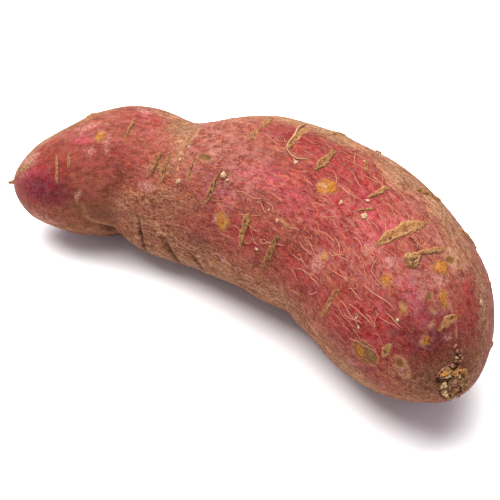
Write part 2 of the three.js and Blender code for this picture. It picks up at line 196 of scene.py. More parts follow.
# Pale chips of dry cork lying proud: along, turn, size, how drawn out they are round the root.
CHIPS = [
    (187.8, -40, 0.8, 0.8), (144, 23, 0.7, 1.2), (149, 10, 0.75, 1), (154.5, 18.5, 0.95, 1.3),
    (187.2, 38.6, 0.5, 1.8), (118, 16.6, 0.75, 1.3), (95.8, 38, 0.95, 0.9), (97.6, 40.4, 0.6, 0.8),
    (79, 46.8, 0.9, 1), (78.2, 18, 0.55, 1), (77.8, -0.5, 0.5, 1.3), (78.2, 11.6, 0.5, 1),
    (76.6, 29.6, 0.5, 1.2), (164.9, -1.2, 0.8, 0.7), (119.8, 74.8, 0.55, 0.7), (179.2, 60.8, 0.45, 1.8),
    (133.6, -12.4, 0.6, 1.2), (124.9, 53.6, 0.6, 1.8), (118.6, 50.8, 0.4, 1), (133.7, 21.2, 0.5, 0.7),
    (181.2, 65.4, 0.4, 1),
]

# The height of a chip and of a knob as a share of its width, and how far each is lifted.
CHIP_FORM = {"flat": 0.45, "lift": 0.12}
KNOB_FORM = {"flat": 0.7, "lift": 0.1}

# Seeded chips on the back, from the same four values.
BACK_CHIPS = {"seed": 12, "count": 16}
CHIP_RANGES = [(20, 185), (-170, -30), (0.4, 0.8), (0.8, 1.5)]

# Knobs where side roots broke off, and the crust above the stem scar: along, turn, size, tone.
KNOBS = [
    (175.3, 8, 1.7, 0.5), (174.4, 4.6, 1, 0.25), (175.9, 10.8, 1.2, 0.75), (175.4, 6.4, 0.85, 0.04),
    (176.4, 7.6, 0.8, 0.3), (174.6, 9, 0.8, 0.12), (177.1, 9.6, 0.7, 1), (128, -42, 0.9, 0.6),
]

# Pale fibres that show on the red skin, each through its own places of along and turn.
FIBRES = [
    [(115.8, 21), (118, 21.8), (119.6, 21.5)],
    [(111, 28.6), (114, 29.4), (118, 30.7), (122, 30), (126.5, 29)],
    [(120.5, 26.6), (125.8, 24.7), (130, 25.2)], [(134.5, 29), (138.5, 28.1), (142.5, 28.9)],
    [(145.5, 30.4), (149.6, 27.3), (154.6, 27.3), (158, 26)],
    [(135.4, 12.9), (139.2, 15.1), (143, 14.4), (147, 16.2)],
    [(131.5, 1.2), (135.8, 2.5), (139.2, 4.8), (143, 6.2), (147.5, 5.2)],
    [(139.6, -13), (144.2, -7.8), (146.4, -2)], [(114.5, 40.4), (118.8, 41.7), (123.5, 43.2), (128, 44.8)],
    [(122.5, 34.2), (127, 35.6), (131.5, 34)],
    [(125.5, 53.2), (129.6, 54.3), (132.7, 53.6), (135.8, 52.1), (140, 51.2)],
    [(140.5, 41.6), (145, 42.2), (147, 44), (151, 43)], [(141, 57.3), (146, 58.2), (151, 57.8)],
    [(113.2, -4.2), (116.5, -2.6), (119, -3.4)], [(116, 6), (119.6, 7), (124, 6.1)],
    [(119, -9), (122.7, -5.6), (124.6, -4.9)], [(128.5, -16), (130.8, -9.3), (133.5, -3.4)],
    [(151.5, 0), (155, 1), (158.5, 2.5), (163, 5)], [(153.4, 9), (156.5, 10.7), (159.6, 11.4), (165, 14)],
    [(155.4, 19.2), (158.8, 16.9), (162, 16.5)], [(145.5, 45.2), (150, 42.5), (156.4, 41.6)],
    [(155, 47.2), (159.6, 45.4), (162.3, 43.9), (165.5, 42)],
    [(158.8, 55.4), (163.5, 53.5), (166.5, 51.3), (170.5, 50.4)],
    [(173.8, 60), (177.7, 57.2), (181.2, 56.5), (186, 55.4)], [(178.8, 56.8), (179, 62.4), (181.8, 64.8)],
    [(183, 45.5), (183.5, 52), (185.2, 57)], [(169, 24), (172, 33.4), (174.2, 34.3), (178.6, 33.4)],
    [(177, 21.2), (180.4, 19.2), (184, 16.6)], [(158.6, 33), (160.4, 29.9), (163.5, 30.6), (165.8, 33)],
    [(106, 12), (109, 13.3), (113, 12.4)], [(136.5, -8), (141, -5.5), (144, -6.2), (148.5, -1.5)],
    [(101, 48), (105.5, 46.2), (110, 47.4), (114, 45)], [(130, 9.6), (133.6, 11.8), (136.4, 17.6)],
    [(158, -6.4), (161, -4.2), (163, -2)], [(167.5, 3.5), (170, 1.2), (173, 2.4)],
]

# A fibre's form: its width, the steps down it, how far it stands off the skin and sways, and how
# flat it lies.
FIBRE_FORM = {"width": 0.24, "steps": 11, "lift": 0.05, "sway": 0.36, "flat": 0.4}

# Seeded fibres over the red skin. The width is the least, and what a draw adds to it. They grow more
# from the far lobe to the body, and end short of the stem end's pole. The ranges are those of along,
# turn, length, drift and sway. Drift is sideways by the millimetre of length and sway in millimetres,
# and both are turned into degrees round the root.
LOOSE_FIBRES = {"seed": 31, "count": 340, "width": (0.14, 0.16), "fade_in": (60, 110), "from_pole": 8}
LOOSE_RANGES = [(16, 186), (-180, 180), (4, 12), (-0.35, 0.35), (-1.1, 1.1)]
DEGREES_PER_MM = 1.8

# Colour zones on the skin: along, turn, reach along, spread round, strength.
ZONES = {
    "red": [
        (194, 94, 8, 14, 0.4), (114, -4, 13, 12, 1), (131, 2, 14, 16, 0.85), (147, 12, 20, 22, 1),
        (122, 34, 16, 14, 0.65), (158, 36, 26, 22, 0.55), (183, 57, 10, 22, 1), (184, 66, 7, 12, 0.9),
        (187, -28, 10, 11, 0.7), (106, 68, 14, 9, 0.8), (150, 72, 36, 13, 0.75), (18, 10, 9, 18, 0.35),
        (14, 54, 12, 30, 0.9), (45, 38, 20, 14, 0.4), (54, -5, 9, 9, 0.5), (196, 24, 9, 50, 0.7),
        (176, 78, 10, 10, 0.6), (93, 84, 12, 8, 0.5), (120, -105, 34, 34, 0.75), (60, -110, 20, 30, 0.5),
        (170, -120, 22, 30, 0.6), (100, 175, 30, 34, 0.45),
    ],
    "pink": [
        (190.5, 19, 1.8, 7, 1), (193, -9, 1.5, 5, 0.7), (50, -17, 4, 8, 0.5), (108, 33, 12, 9, 0.8),
        (122, 36, 14, 10, 0.5), (138, 44, 16, 7, 0.4), (11, 42, 6, 12, 0.8), (31, 16, 4, 7, 0.8),
        (58, 8, 8, 8, 0.35), (162, 9, 5, 14, 0.7), (154, 16, 5, 8, 0.5), (166, 24, 7, 7, 0.6),
        (184, 20, 8, 9, 0.7), (196, -8, 3, 14, 0.4), (96, 52, 9, 8, 0.5), (144, 7, 5, 7, 0.5),
        (82, 40, 10, 10, 0.3), (180, 42, 8, 8, 0.5), (193, 62, 5, 12, 0.3), (54, -16, 8, 10, 0.3),
        (22, 56, 5, 10, 0.4), (130, -90, 14, 16, 0.5), (60, -100, 12, 14, 0.4),
    ],
    "purple": [
        (187, 14, 8, 14, 0.35), (14, 60, 8, 20, 1), (21, 68, 7, 15, 0.9), (195.6, 20, 3.5, 13, 0.9),
        (190, 8, 4, 10, 0.5), (196, 40, 6, 30, 0.35), (190, 42, 4, 12, 0.5), (92, 44, 11, 13, 0.4),
        (188, 97, 9, 14, 0.5), (90, 72, 12, 12, 0.45), (64, 44, 12, 10, 0.2), (196, -20, 5, 20, 0.3),
        (45, -150, 16, 30, 0.5), (150, -150, 18, 30, 0.5), (100, -140, 14, 20, 0.4),
    ],
    # Tan russet ground, partly painted light: highlights on the far tip's top and near along 146, turn -17,
    # and floor light bounced along the lower rim, turn 116 to 128.
    "tan": [
        (184, 126, 18, 8, 0.7), (20, 120, 12, 9, 0.5), (46, 128, 8, 8, 0.5), (6, 0, 6, 40, 1),
        (9, 20, 5, 10, 0.9), (13, -18, 8, 16, 1), (28, -14, 9, 10, 0.8), (68, -12, 8, 24, 0.85),
        (62, -32, 11, 14, 0.8), (75, 14, 4, 22, 0.7), (70, 38, 9, 12, 0.5), (88, -18, 12, 12, 0.6),
        (112, -33, 22, 13, 1), (121, -22, 9, 11, 0.9), (106, -22, 6, 8, 0.5), (142, -24, 7, 10, 0.7),
        (152, -38, 25, 12, 1), (160, -28, 9, 8, 0.6), (146, -17, 6, 7, 0.5), (100, 118, 70, 8, 0.6),
        (9, 102, 8, 14, 0.5), (196, 86, 6, 26, 0.5), (42, -32, 18, 14, 0.6), (177, -19, 6, 8, 0.8),
        (182, 114, 10, 9, 0.7), (70, -90, 14, 30, 0.7), (150, -80, 22, 24, 0.6), (16, -110, 14, 50, 0.6),
        (90, 126, 36, 7, 0.9), (60, 128, 16, 7, 0.8),
    ],
    "brown": [
        (80, 60, 12, 12, 0.55), (180, 138, 26, 22, 0.8), (34, 130, 24, 24, 0.8), (110, 140, 40, 20, 0.7),
        (174, -27, 8, 8, 0.7), (186, -46, 14, 14, 0.9), (134, -36, 7, 8, 0.7), (40, 95, 18, 24, 1),
        (31, 58, 10, 14, 0.5), (66, 96, 16, 26, 1), (19, 16, 9, 18, 0.35), (60, 70, 12, 9, 0.55),
        (76, 64, 10, 16, 0.5), (92, 103, 20, 16, 0.95), (120, 104, 22, 14, 1), (150, 106, 28, 14, 1),
        (24, 108, 14, 18, 0.7), (178, 110, 14, 11, 0.65), (26, 82, 6, 8, 0.6), (203, 20, 4, 90, 0.9),
        (203, 60, 5, 80, 0.8), (66, -8, 9, 20, 0.5), (203, -60, 5, 60, 0.7), (200, 90, 6, 30, 0.35),
        (70, 180, 26, 50, 0.8), (140, 180, 34, 40, 0.7), (90, -80, 22, 40, 0.3), (196, -120, 12, 60, 0.6),
    ],
    # Pale dusty bloom, partly painted light: a sheen on the body's top and floor light bounced along the
    # lower rim.
    "dust_and_painted_light": [
        (99, 34, 12, 14, 0.6), (86, 4, 10, 24, 0.7), (168, 40, 16, 12, 0.5), (146, 28, 14, 10, 0.3),
        (96, 20, 12, 18, 0.5), (172, -12, 8, 8, 0.6), (188, 12, 7, 12, 0.6), (158, -8, 8, 8, 0.5),
        (90, 16, 13, 20, 0.9), (102, 44, 12, 10, 0.7), (112, 40, 7, 6, 0.4), (78, 10, 4, 30, 0.5),
        (34, 2, 10, 12, 0.5), (63, 12, 10, 14, 0.3), (181, 14, 9, 16, 0.75), (182, -3, 6, 12, 0.6),
        (154, -14, 10, 12, 0.6), (167, 25, 7, 6, 0.8), (172, -20, 12, 12, 0.5), (14, 62, 4, 10, 0.3),
        (66, 55, 6, 6, 0.5), (154, 58, 9, 8, 0.4), (186, 104, 8, 12, 0.4), (110, -120, 20, 30, 0.6),
        (40, -90, 14, 30, 0.4), (84, 124, 34, 7, 0.9),
    ],
    # Dark patches: partly stains, partly painted shade, as in the crevice under the fold.
    "dark": [
        (38, 92, 12, 11, 0.7), (21, 72, 6, 12, 0.5), (92, 88, 12, 9, 0.6), (30, 70, 8, 12, 0.5),
        (198, 60, 7, 50, 0.45), (199, 0, 6, 40, 0.35), (190, 38, 5, 10, 0.5), (150, 82, 20, 7, 0.3),
        (179, 82, 8, 8, 0.4), (112, -6, 12, 12, 0.6), (70, -10, 9, 24, 0.5), (40, 48, 14, 14, 0.3),
        (196, 10, 6, 40, 0.4), (187, -30, 8, 10, 0.3), (202, 30, 5, 90, 0.9), (198.5, 4, 3, 12, 0.8),
        (44, 118, 8, 10, 0.9),
    ],
}

# Pale raised lines of skin: each through its own places of along and turn, and its width. On the first,
# along the fold's lower edge, and the last, along the stem end's lower rim, the pale is partly painted light
# bounced from the floor.
PALE_LINES = [
    ([(29.5, 80), (30.5, 95), (34, 102), (38, 108), (43, 112), (47, 114), (51, 119)], 1.7),
    ([(97, 100), (101, 99), (103, 103)], 0.9), ([(192.2, 12), (192.6, 20)], 0.9),
    ([(77.5, -1), (78.6, 8), (78.2, 15)], 1.5), ([(75.2, 5), (75.8, 17), (76.6, 30)], 0.8),
    ([(29, 66), (27.4, 72), (28, 78)], 0.6),
    ([(192.4, 68), (193, 61), (195, 60), (197, 67), (197.8, 76), (197, 81), (194.6, 77), (192.6, 70)], 0.7),
    ([(194.6, -7), (196.8, -6.4)], 0.5), ([(123.6, 53.4), (127, 52.2), (130.6, 53.6), (134, 52.6)], 1.1),
    ([(178, 119), (184.4, 116.5), (188.2, 117.3), (192.2, 122), (196.6, 122.7), (199.6, 128)], 1.1),
]

# Lumps by what they shape, each with its height, size and seed. The combed ones are drawn out down
# the root.
LUMPS = {
    "skin": [(0.36, 15, 1), (0.16, 6, 2)],
    "combed skin": [(0.09, 1.6, 3)],
    "fine skin": [(0.07, 2.2, 7)],
    "wander of the rings": [(2.6, 20, 4), (0.8, 7, 5)],
    "crumbs of a lenticel": [(0.22, 1.2, 5), (0.16, 0.55, 6)],
    "scar": [(0.6, 1.5, 20), (0.4, 0.7, 21)],
}
COMBING = 3.5

# A low fold of skin on the hollow side under the waist, between two creases.
BELLY_FOLD = {"along": 70, "turn": 128, "reach": 8, "spread": 14, "height": 1.1}

# Fine rings pinched round the waist, and behind the far lobe on its hollow side.
RINGS = {"along": 70, "reach": 13, "apart": 3.3, "depth": 0.26}
LOBE_RINGS = {"along": 100, "reach": 12, "turn": 115, "spread": 30, "share": 0.5}

# The crevice where the body's near side overlaps the far lobe, sunk and painted dark brown as shade.
CREVICE = {"places": [(33, 106), (38, 113), (42, 118), (46, 122), (50, 128)], "width": 2.6, "depth": 0.7}

# How marks raise the skin, in millimetres: at a lenticel, on a pale line and on the rim of a sunken
# scab. A crease's lip is a share of its depth.
RISE = {"lenticel": 0.16, "pale_line": 0.3, "scab_rim": 0.22, "crease_lip": 0.3}

# The distance, in millimetres, that is kept as a mark's edge at a place beyond every mark.
NO_MARK = 9.0

# Where along the root the fine lines of the skin grow crisp, as the photo shows them.
CRISP = (28, 75)

# The skin's mesh: rings down the root, segments round it, and how much closer they stand on the
# side that carries the fine marks.
SKIN = {
    "segments": 230, "rings": 432, "tip_rings": 26, "stem_rings": 64,
    "crowding": 0.3, "crowd_turn": 35,
}

# The woody stem scar: its middle from the pole of the stem end, its size, how it bends back, and
# its mesh. The crumbs are drawn in towards the pole by a spread of less than 1.
SCAR = {
    "side": 1.4, "up": 2.8, "width": 9, "height": 13, "sunk": 3.4, "proud": 0.7, "bend": 0.045,
    "segments": 72, "rings": 48, "seed": 7, "spread": 0.94,
}

# How fast the stem end turns away from its pole, per millimetre, and the steps that measure it.
STEM_END_BEND = 0.085
STEM_END_STEPS = 400

# The stub of the thin tail root at the far tip: its half widths, its length, how deep it starts, how
# it waves up and bends aside, how uneven it is, and its mesh.
TAIL = {
    "base": 1.7, "tip": 0.5, "length": 3.1, "sunk": 2.5, "wave": 0.35, "bend": 0.3, "uneven": 0.15,
    "steps": 20, "sides": 14,
}

# Colours of dry broken wood in the stem scar; the darkest stands as painted shade in its cavities. All
# colours are linear.
TINTS = {
    "amber": (0.33, 0.145, 0.034),
    "cream": (0.52, 0.37, 0.19),
    "tan": (0.27, 0.14, 0.055),
    "mauve": (0.24, 0.122, 0.072),
    "olive": (0.22, 0.14, 0.05),
    "brown": (0.09, 0.035, 0.016),
    "umber": (0.034, 0.012, 0.005),
    "rose": (0.27, 0.12, 0.08),
    "lilac": (0.42, 0.29, 0.3),
}

# Crumbs of these tints lie lower than the others, dark in the scar's cavities as painted shade.
SUNKEN_TINTS = ("umber", "brown")

# Crumbs and splinters of the scar: side and up from the pole of the stem end, size, tint.
SCAR_CRUMBS = [
    (3.8, 7, 1.15, "amber"), (2.9, 6.5, 0.95, "cream"), (2, 7, 0.85, "tan"), (0.8, 6.8, 1, "amber"),
    (-0.2, 7.2, 0.85, "tan"), (-1, 7, 1.1, "amber"), (-1.9, 6.5, 1.15, "amber"), (-2.6, 5.6, 0.9, "tan"),
    (1.6, 8.8, 0.8, "rose"), (0.7, 8.3, 0.75, "umber"), (3.1, 8, 0.7, "olive"), (4.7, 6, 0.75, "tan"),
    (3.8, 5.2, 1, "umber"), (4.6, 4.5, 0.8, "umber"), (4.6, 3, 0.95, "cream"), (4, 3.7, 0.8, "cream"),
    (3.4, 2.8, 0.75, "olive"), (3.1, 1.6, 0.85, "umber"), (4, 0.8, 0.8, "cream"),
    (3.5, -0.2, 0.95, "cream"), (2.7, 0.3, 0.7, "olive"), (2.2, -0.7, 0.9, "umber"), (1.6, 0, 0.85, "tan"),
    (1.3, 1.1, 0.8, "tan"), (2.4, 2.3, 0.85, "mauve"), (1.9, 3.4, 1, "mauve"), (0.9, 3.1, 0.95, "mauve"),
    (1.5, 4.7, 1.05, "mauve"), (0.6, 5.1, 0.85, "olive"), (2.5, 5, 0.8, "brown"), (-0.5, 4, 0.95, "olive"),
    (0, 5.4, 0.8, "cream"), (-0.9, 5.2, 0.8, "brown"), (-0.2, 1.2, 0.95, "umber"),
    (0.3, 2.1, 0.75, "mauve"), (-1.2, 2.9, 0.85, "tan"), (-1.1, 1.8, 0.7, "brown"),
    (-2.1, 4.1, 1.05, "tan"), (-2.9, 4.4, 0.8, "rose"), (-2.2, 0.8, 0.95, "tan"),
    (-2.6, 2.4, 0.95, "olive"), (-3, 3.1, 0.75, "tan"), (-0.9, -1.2, 0.95, "rose"),
    (0.4, -0.9, 0.8, "umber"), (-0.3, -2.6, 0.9, "lilac"), (1, -2.2, 0.8, "tan"),
    (2.2, -2.4, 0.85, "olive"), (3.4, -2.3, 0.8, "brown"), (1.2, -4.6, 0.6, "lilac"),
    (2.2, -3.6, 0.6, "tan"), (5, 1.6, 0.7, "brown"), (5.2, 3.4, 0.6, "brown"),
]

# Corky beads above the scar: side and up from the pole of the stem end, size, tint.
SCAR_BEADS = [
    (-0.4, 13.4, 0.45, "rose"), (-0.7, 12.2, 0.5, "tan"), (-1.5, 10.9, 0.45, "rose"),
    (-0.2, 10.6, 0.45, "cream"), (-0.9, 9.6, 0.5, "rose"), (-1.9, 10.2, 0.4, "tan"),
    (-0.7, 11.2, 0.5, "umber"), (-1.1, 10.1, 0.45, "umber"), (0.2, 9.9, 0.4, "tan"),
    (-1.9, 11.7, 0.35, "rose"), (0.6, 9.7, 0.45, "brown"), (-0.9, 8.9, 0.5, "umber"),
]

# The raised collar of skin round the scar's upper left, and its places: side and up from the pole,
# and thickness.
COLLAR = {"steps": 22, "sides": 9, "flat": 0.8, "lift": 0.25}
SCAR_COLLAR = [
    (5.6, 5, 0.12), (5.2, 6.2, 0.22), (4.5, 7.2, 0.32), (3.5, 7.9, 0.3), (2.4, 8.4, 0.22),
    (1.4, 8.7, 0.12),
]

# Rootlets: each through its own places of along and turn, with its heights over the skin, its
# widths and its number of steps.
ROOTLETS = [
    (
        [
            (107.9, -28), (109.2, -18), (109.4, -11.5), (110.8, -4), (111.3, 3), (111.9, 10),
            (113.5, 12.3), (115.8, 14.2), (118, 14.4), (119.6, 12.5), (121.5, 10.3),
        ],
        [0.2, 0.6, 1, 0.95, 0.8, 0.7, 0.5, 0.4, 0.35, 0.3, 0.1],
        [0.15, 0.24, 0.36, 0.28, 0.24, 0.22, 0.2, 0.18, 0.16, 0.14, 0.08],
        40,
    ),
    ([(112, -25), (113.4, -21), (114.2, -17.5)], [0.1, 0.6, 0.2], [0.15, 0.2, 0.12], 12),
    ([(116.4, 14.6), (117, 16), (118, 17)], [0.3, 0.4, 0.3], [0.17, 0.14, 0.1], 10),
]

ROOTLET_SIDES = 7

# Seeded short rootlets on the back: their heights, widths and steps, and the ranges of along, turn,
# length and bend.
SHORT_ROOTLETS = {"seed": 44, "count": 22}
SHORT_SHAPE = ([-0.1, 0.5, 0.1], [0.17, 0.13, 0.08], 10)
SHORT_RANGES = [(20, 185), (-165, -35), (2, 5), (-1, 1)]

# How much each of five neighbours counts where a rootlet's bends are smoothed.
SMOOTHING = np.array([1, 2, 3, 2, 1]) / 9


def unit(rows):
    return rows / np.linalg.norm(rows, axis=1)[:, None]


def blended(t, slope=False):
    """The stations blended at t from 0 to 1, or how fast they change there."""
    last = len(STATIONS) - 1
    rows = np.vstack([2 * STATIONS[0] - STATIONS[1], STATIONS, 2 * STATIONS[-1] - STATIONS[-2]])
    place = np.clip(t, 0, 1) * last
    before = np.minimum(place.astype(int), last - 1)
    f = (place - before)[:, None]
    if slope:
        shares = [-3 * (1 - f) ** 2, 9 * f**2 - 12 * f, -9 * f**2 + 6 * f + 3, 3 * f**2]
    else:
        shares = [(1 - f) ** 3, 3 * f**3 - 6 * f**2 + 4, -3 * f**3 + 3 * f**2 + 3 * f + 1, f**3]
    return sum(share * rows[before + k] for k, share in enumerate(shares)) / 6


STEPS = np.linspace(0, 1, 2001)
STEP_LENGTHS = np.linalg.norm(np.diff(blended(STEPS)[:, :3], axis=0), axis=1)
DISTANCES = np.concatenate([[0], np.cumsum(STEP_LENGTHS)])
LENGTH = DISTANCES[-1]


def section(along):
    """The centre, radius, direction down the root, up and side of the root's sections."""
    t = np.interp(along, DISTANCES, STEPS)
    rows = blended(t)
    forward = unit(blended(t, slope=True)[:, :3])
    up = unit(np.array([0, 0, 1]) - forward[:, 2:] * forward)
    return rows[:, :3], rows[:, 3], forward, up, np.cross(forward, up)


def turn_between(start, end):
    return (np.asarray(end) - start + 180) % 360 - 180


def bell(distance, reach):
    return np.exp(-((distance / reach) ** 2))


def smooth(low, high, value):
    share = np.clip((value - low) / (high - low), 0, 1)
    return share * share * (3 - 2 * share)


def taper(share, blunt, power):
    """How full a mark is down its length: 1 at its middle and thin at its ends."""
    return np.sin(np.pi * np.clip(share, blunt, 1 - blunt)) ** power


def evenly(share, values):
    """Values that stand evenly from 0 to 1, read at a share."""
    return np.interp(share, np.linspace(0, 1, len(values)), values)


def closing(along):
    """How far the ends have closed: 1 on the body, 0 at a pole."""
    tip = np.maximum(0, 1 - along / TIP_LENGTH)
    stem = np.maximum(0, 1 - (LENGTH - along) / STEM_END_LENGTH)
    return np.sqrt(np.maximum(0, 1 - tip**2)) * np.sqrt(np.maximum(0, 1 - stem**2))


def fold_place(along, turn):
    """Distance across the fold, towards the body, and how strongly it shows there."""
    lean = math.radians(FOLD["lean"])
    x = along - FOLD["along"]
    y = turn_between(FOLD["turn"], turn) * FOLD["per_degree"]
    down = x * math.cos(lean) + y * math.sin(lean)
    across = x * math.sin(lean) - y * math.cos(lean)
    return across, smooth(*FOLD["fade_in"], down) * (1 - smooth(*FOLD["fade_out"], down))


def swelling(along, turn):
    """The swellings, the fold, the valley and the waves, in millimetres out from a plain section."""
    height = np.zeros(len(along))
    for at, face, rise, reach, spread in SWELLINGS:
        height += rise * bell(along - at, reach) * bell(turn_between(face, turn), spread)
    across, strength = fold_place(along, turn)
    lobe_side = FOLD["depth"] * bell(across + 0.8 * FOLD["hollow"], FOLD["hollow"])
    body_side = FOLD["proud"] * bell(across - 0.6 * FOLD["lip"], FOLD["lip"])
    height += strength * (body_side - lobe_side)
    aside = turn_between(VALLEY["turn"], turn)
    bed = VALLEY["along"] + VALLEY["slope"] * aside
    height -= VALLEY["depth"] * bell(along - bed, VALLEY["reach"]) * bell(aside, VALLEY["spread"])
    for rise, lobes, length, start in WAVES:
        height += rise * np.cos(np.radians(lobes * turn + start + 360 * along / length))
    return height


def skin_points(along, turn, lift=0):
    """Points on the skin in millimetres, or "lift" above it."""
    along = np.asarray(along, float)
    turn = np.asarray(turn, float)
    centre, radius, _, up, side = section(along)
    close = closing(along)
    reach = radius * close + swelling(along, turn) * np.sqrt(close) + lift
    angle = np.radians(turn)
    return centre + up * (reach * np.cos(angle))[:, None] + side * (reach * np.sin(angle))[:, None]


def lumps(places, size, seed=0, octaves=1):
    """Smooth noise from about -1 to 1 at each place, with lumps of that size."""
    shifted = np.asarray(places) / size + seed * 17.3
    if octaves == 1:
        return np.array([noise.noise(p) for p in shifted])
    return np.array([noise.fractal(p, 1, 2, octaves) for p in shifted])


def lumpy(places, name):
    """The lumps of several sizes that shape something, added up."""
    return sum(height * lumps(places, size, seed) for height, size, seed in LUMPS[name])


def draws_from(seed):
    """A repeatable stream of numbers from 0 to 1, the same as the solid's."""
    factor, addend, modulus = GENERATOR
    state = seed
    while True:
        state = (state * factor + addend) % modulus
        yield state / modulus


def drawn(draw, ranges):
    """A number from each range, in turn, by the next draws."""
    return tuple(low + (high - low) * next(draw) for low, high in ranges)


def hidden_lenticels():
    """Lenticels for the back of the root, each well apart from the others."""
    draw = draws_from(HIDDEN["seed"])
    marks, middles = [], []
    for _ in range(HIDDEN["tries"]):
        along, turn, length, width, slant = drawn(draw, HIDDEN_RANGES)
        spread = math.degrees(length / section(np.array([along]))[1][0])
        middle = skin_points([along], [turn])[0]
        if all(np.linalg.norm(middle - other) > HIDDEN["gap"] for other in middles):
            middles.append(middle)
            number = len(marks)
            shares = (0.5, *(0.8 + 0.3 * math.sin(number * 2.1 + k * 1.7) for k in range(3)), 0.5)
            ends = (along - slant, along + slant)
            turns = (turn - spread / 2, turn + spread / 2)
            marks.append((ends, turns, tuple(width * share for share in shares), (number * 0.37) % 0.9))
        if len(marks) == HIDDEN["count"]:
            break
    return marks


ALL_LENTICELS = LENTICELS + hidden_lenticels()


def beside(along, turn, radius, ends, turns):
    """Distance in millimetres from the line of a mark, and the share of its length there."""
    dx = ends[1] - ends[0]
    dy = np.radians(turns[1] - turns[0]) * radius
    x = along - ends[0]
    y = np.radians(turn_between(turns[0], turn)) * radius
    share = (x * dx + y * dy) / (dx * dx + dy * dy)
    held = np.clip(share, 0, 1)
    return np.hypot(x - held * dx, y - held * dy), share


def line_gap(along, turn, radius, places):
    """Distance in millimetres from a line through places of along and turn, and the share down it."""
    gap = np.full(len(along), np.inf)
    share = np.zeros(len(along))
    for number, (start, end) in enumerate(zip(places, places[1:])):
        away, here = beside(along, turn, radius, (start[0], end[0]), (start[1], end[1]))
        share = np.where(away < gap, (number + np.clip(here, 0, 1)) / (len(places) - 1), share)
        gap = np.minimum(gap, away)
    return gap, share


def outline_gap(along, turn, corners):
    """Distance in millimetres outside an outline through corners of along and turn, negative inside it."""
    corners = np.array(corners, float)
    middle = corners.mean(axis=0)
    radius = (section(middle[:1])[1] * closing(middle[:1]))[0]
    corners[:, 1] = np.radians(corners[:, 1] - middle[1]) * radius
    x = along - middle[0]
    y = np.radians(turn_between(middle[1], turn)) * radius
    corners[:, 0] -= middle[0]
    reach = np.abs(corners).max() + 3
    near = (np.abs(x) < reach) & (np.abs(y) < reach)
    x, y = x[near], y[near]
    gap = np.full(len(x), np.inf)
    inside = np.zeros(len(x), bool)
    for start, end in zip(corners, np.roll(corners, -1, axis=0)):
        dx, dy = end - start
        held = np.clip(((x - start[0]) * dx + (y - start[1]) * dy) / (dx * dx + dy * dy), 0, 1)
        gap = np.minimum(gap, np.hypot(x - start[0] - held * dx, y - start[1] - held * dy))
        crossed = (start[1] > y) != (end[1] > y)
        inside ^= crossed & (x < start[0] + (y - start[1]) * dx / (dy or 1e-9))
    gaps = np.full(len(along), NO_MARK)
    gaps[near] = np.minimum(NO_MARK, np.where(inside, -gap, gap))
    return gaps


def zone(along, turn, zones):
    """How strongly a colour zone shows at each place, from 0 to 1."""
    clear = np.ones(len(along))
    for at, face, reach, spread, strength in zones:
        clear *= 1 - strength * bell(along - at, reach) * bell(turn_between(face, turn), spread)
    return 1 - clear


def write_points(piece, points):
    """Puts a mesh's points where they belong, in metres, inside the solid's box and above the table."""
    places = np.clip(points * MM, [*SOLID_LOW], [*SOLID_HIGH])
    piece.data.vertices.foreach_set("co", places.astype(np.float32).ravel())
    piece.data.update()


def points_of(piece):
    places = np.empty(len(piece.data.vertices) * 3)
    piece.data.vertices.foreach_get("co", places)
    return places.reshape(-1, 3)


def store(piece, **kept_values):
    """Keeps a number, or a vector, at each point of a piece's mesh for its material, by name."""
    for name, values in kept_values.items():
        values = np.asarray(values, np.float32)
        kind, field = ("FLOAT_VECTOR", "vector") if values.ndim == 2 else ("FLOAT", "value")
        piece.data.attributes.new(name, kind, "POINT").data.foreach_set(field, values.ravel())


def store_even(piece, **kept_values):
    """Keeps one number, or one vector, at every point of a piece's mesh, by name."""
    count = len(piece.data.vertices)
    for name, value in kept_values.items():
        store(piece, **{name: np.repeat(np.atleast_2d(value), count, 0).squeeze()})


def new_ball(segments, rings):
    """A ball of quads to shape, with its polar share and azimuth at each point."""
    bpy.ops.object.select_all(action="DESELECT")
    bpy.ops.mesh.primitive_uv_sphere_add(segments=segments, ring_count=rings, radius=1)
    ball = bpy.context.object
    x, y, z = points_of(ball).T
    return ball, np.arccos(np.clip(z, -1, 1)) / np.pi, np.arctan2(y, x)


def joined(pieces, name, sharp=180, mirrored=False):
    """Joins pieces into one under a new name, smooth across edges less sharp than an angle."""
    bpy.ops.object.select_all(action="DESELECT")
    for piece in pieces:
        piece.select_set(True)
    bpy.context.view_layer.objects.active = pieces[0]
    if len(pieces) > 1:
        bpy.ops.object.join()
    whole = bpy.context.object
    whole.name = name
    whole.data.name = name
    if mirrored:
        bpy.ops.object.mode_set(mode="EDIT")
        bpy.ops.mesh.select_all(action="SELECT")
        bpy.ops.mesh.normals_make_consistent(inside=False)
        bpy.ops.object.mode_set(mode="OBJECT")
    bpy.ops.object.shade_smooth_by_angle(angle=math.radians(sharp))
    return whole


def ring_places(share):
    """Where along the root the skin's rings stand, close together where an end closes."""
    ring = share * SKIN["rings"]
    body_rings = SKIN["rings"] - SKIN["tip_rings"] - SKIN["stem_rings"]
    tip = np.clip(ring / SKIN["tip_rings"], 0, 1)
    body = np.clip((ring - SKIN["tip_rings"]) / body_rings, 0, 1)
    stem = np.clip((SKIN["rings"] - ring) / SKIN["stem_rings"], 0, 1)
    places = TIP_LENGTH * (1 - np.cos(tip * np.pi / 2))
    places += (LENGTH - TIP_LENGTH - STEM_END_LENGTH) * body
    return places + STEM_END_LENGTH * np.cos(stem * np.pi / 2)


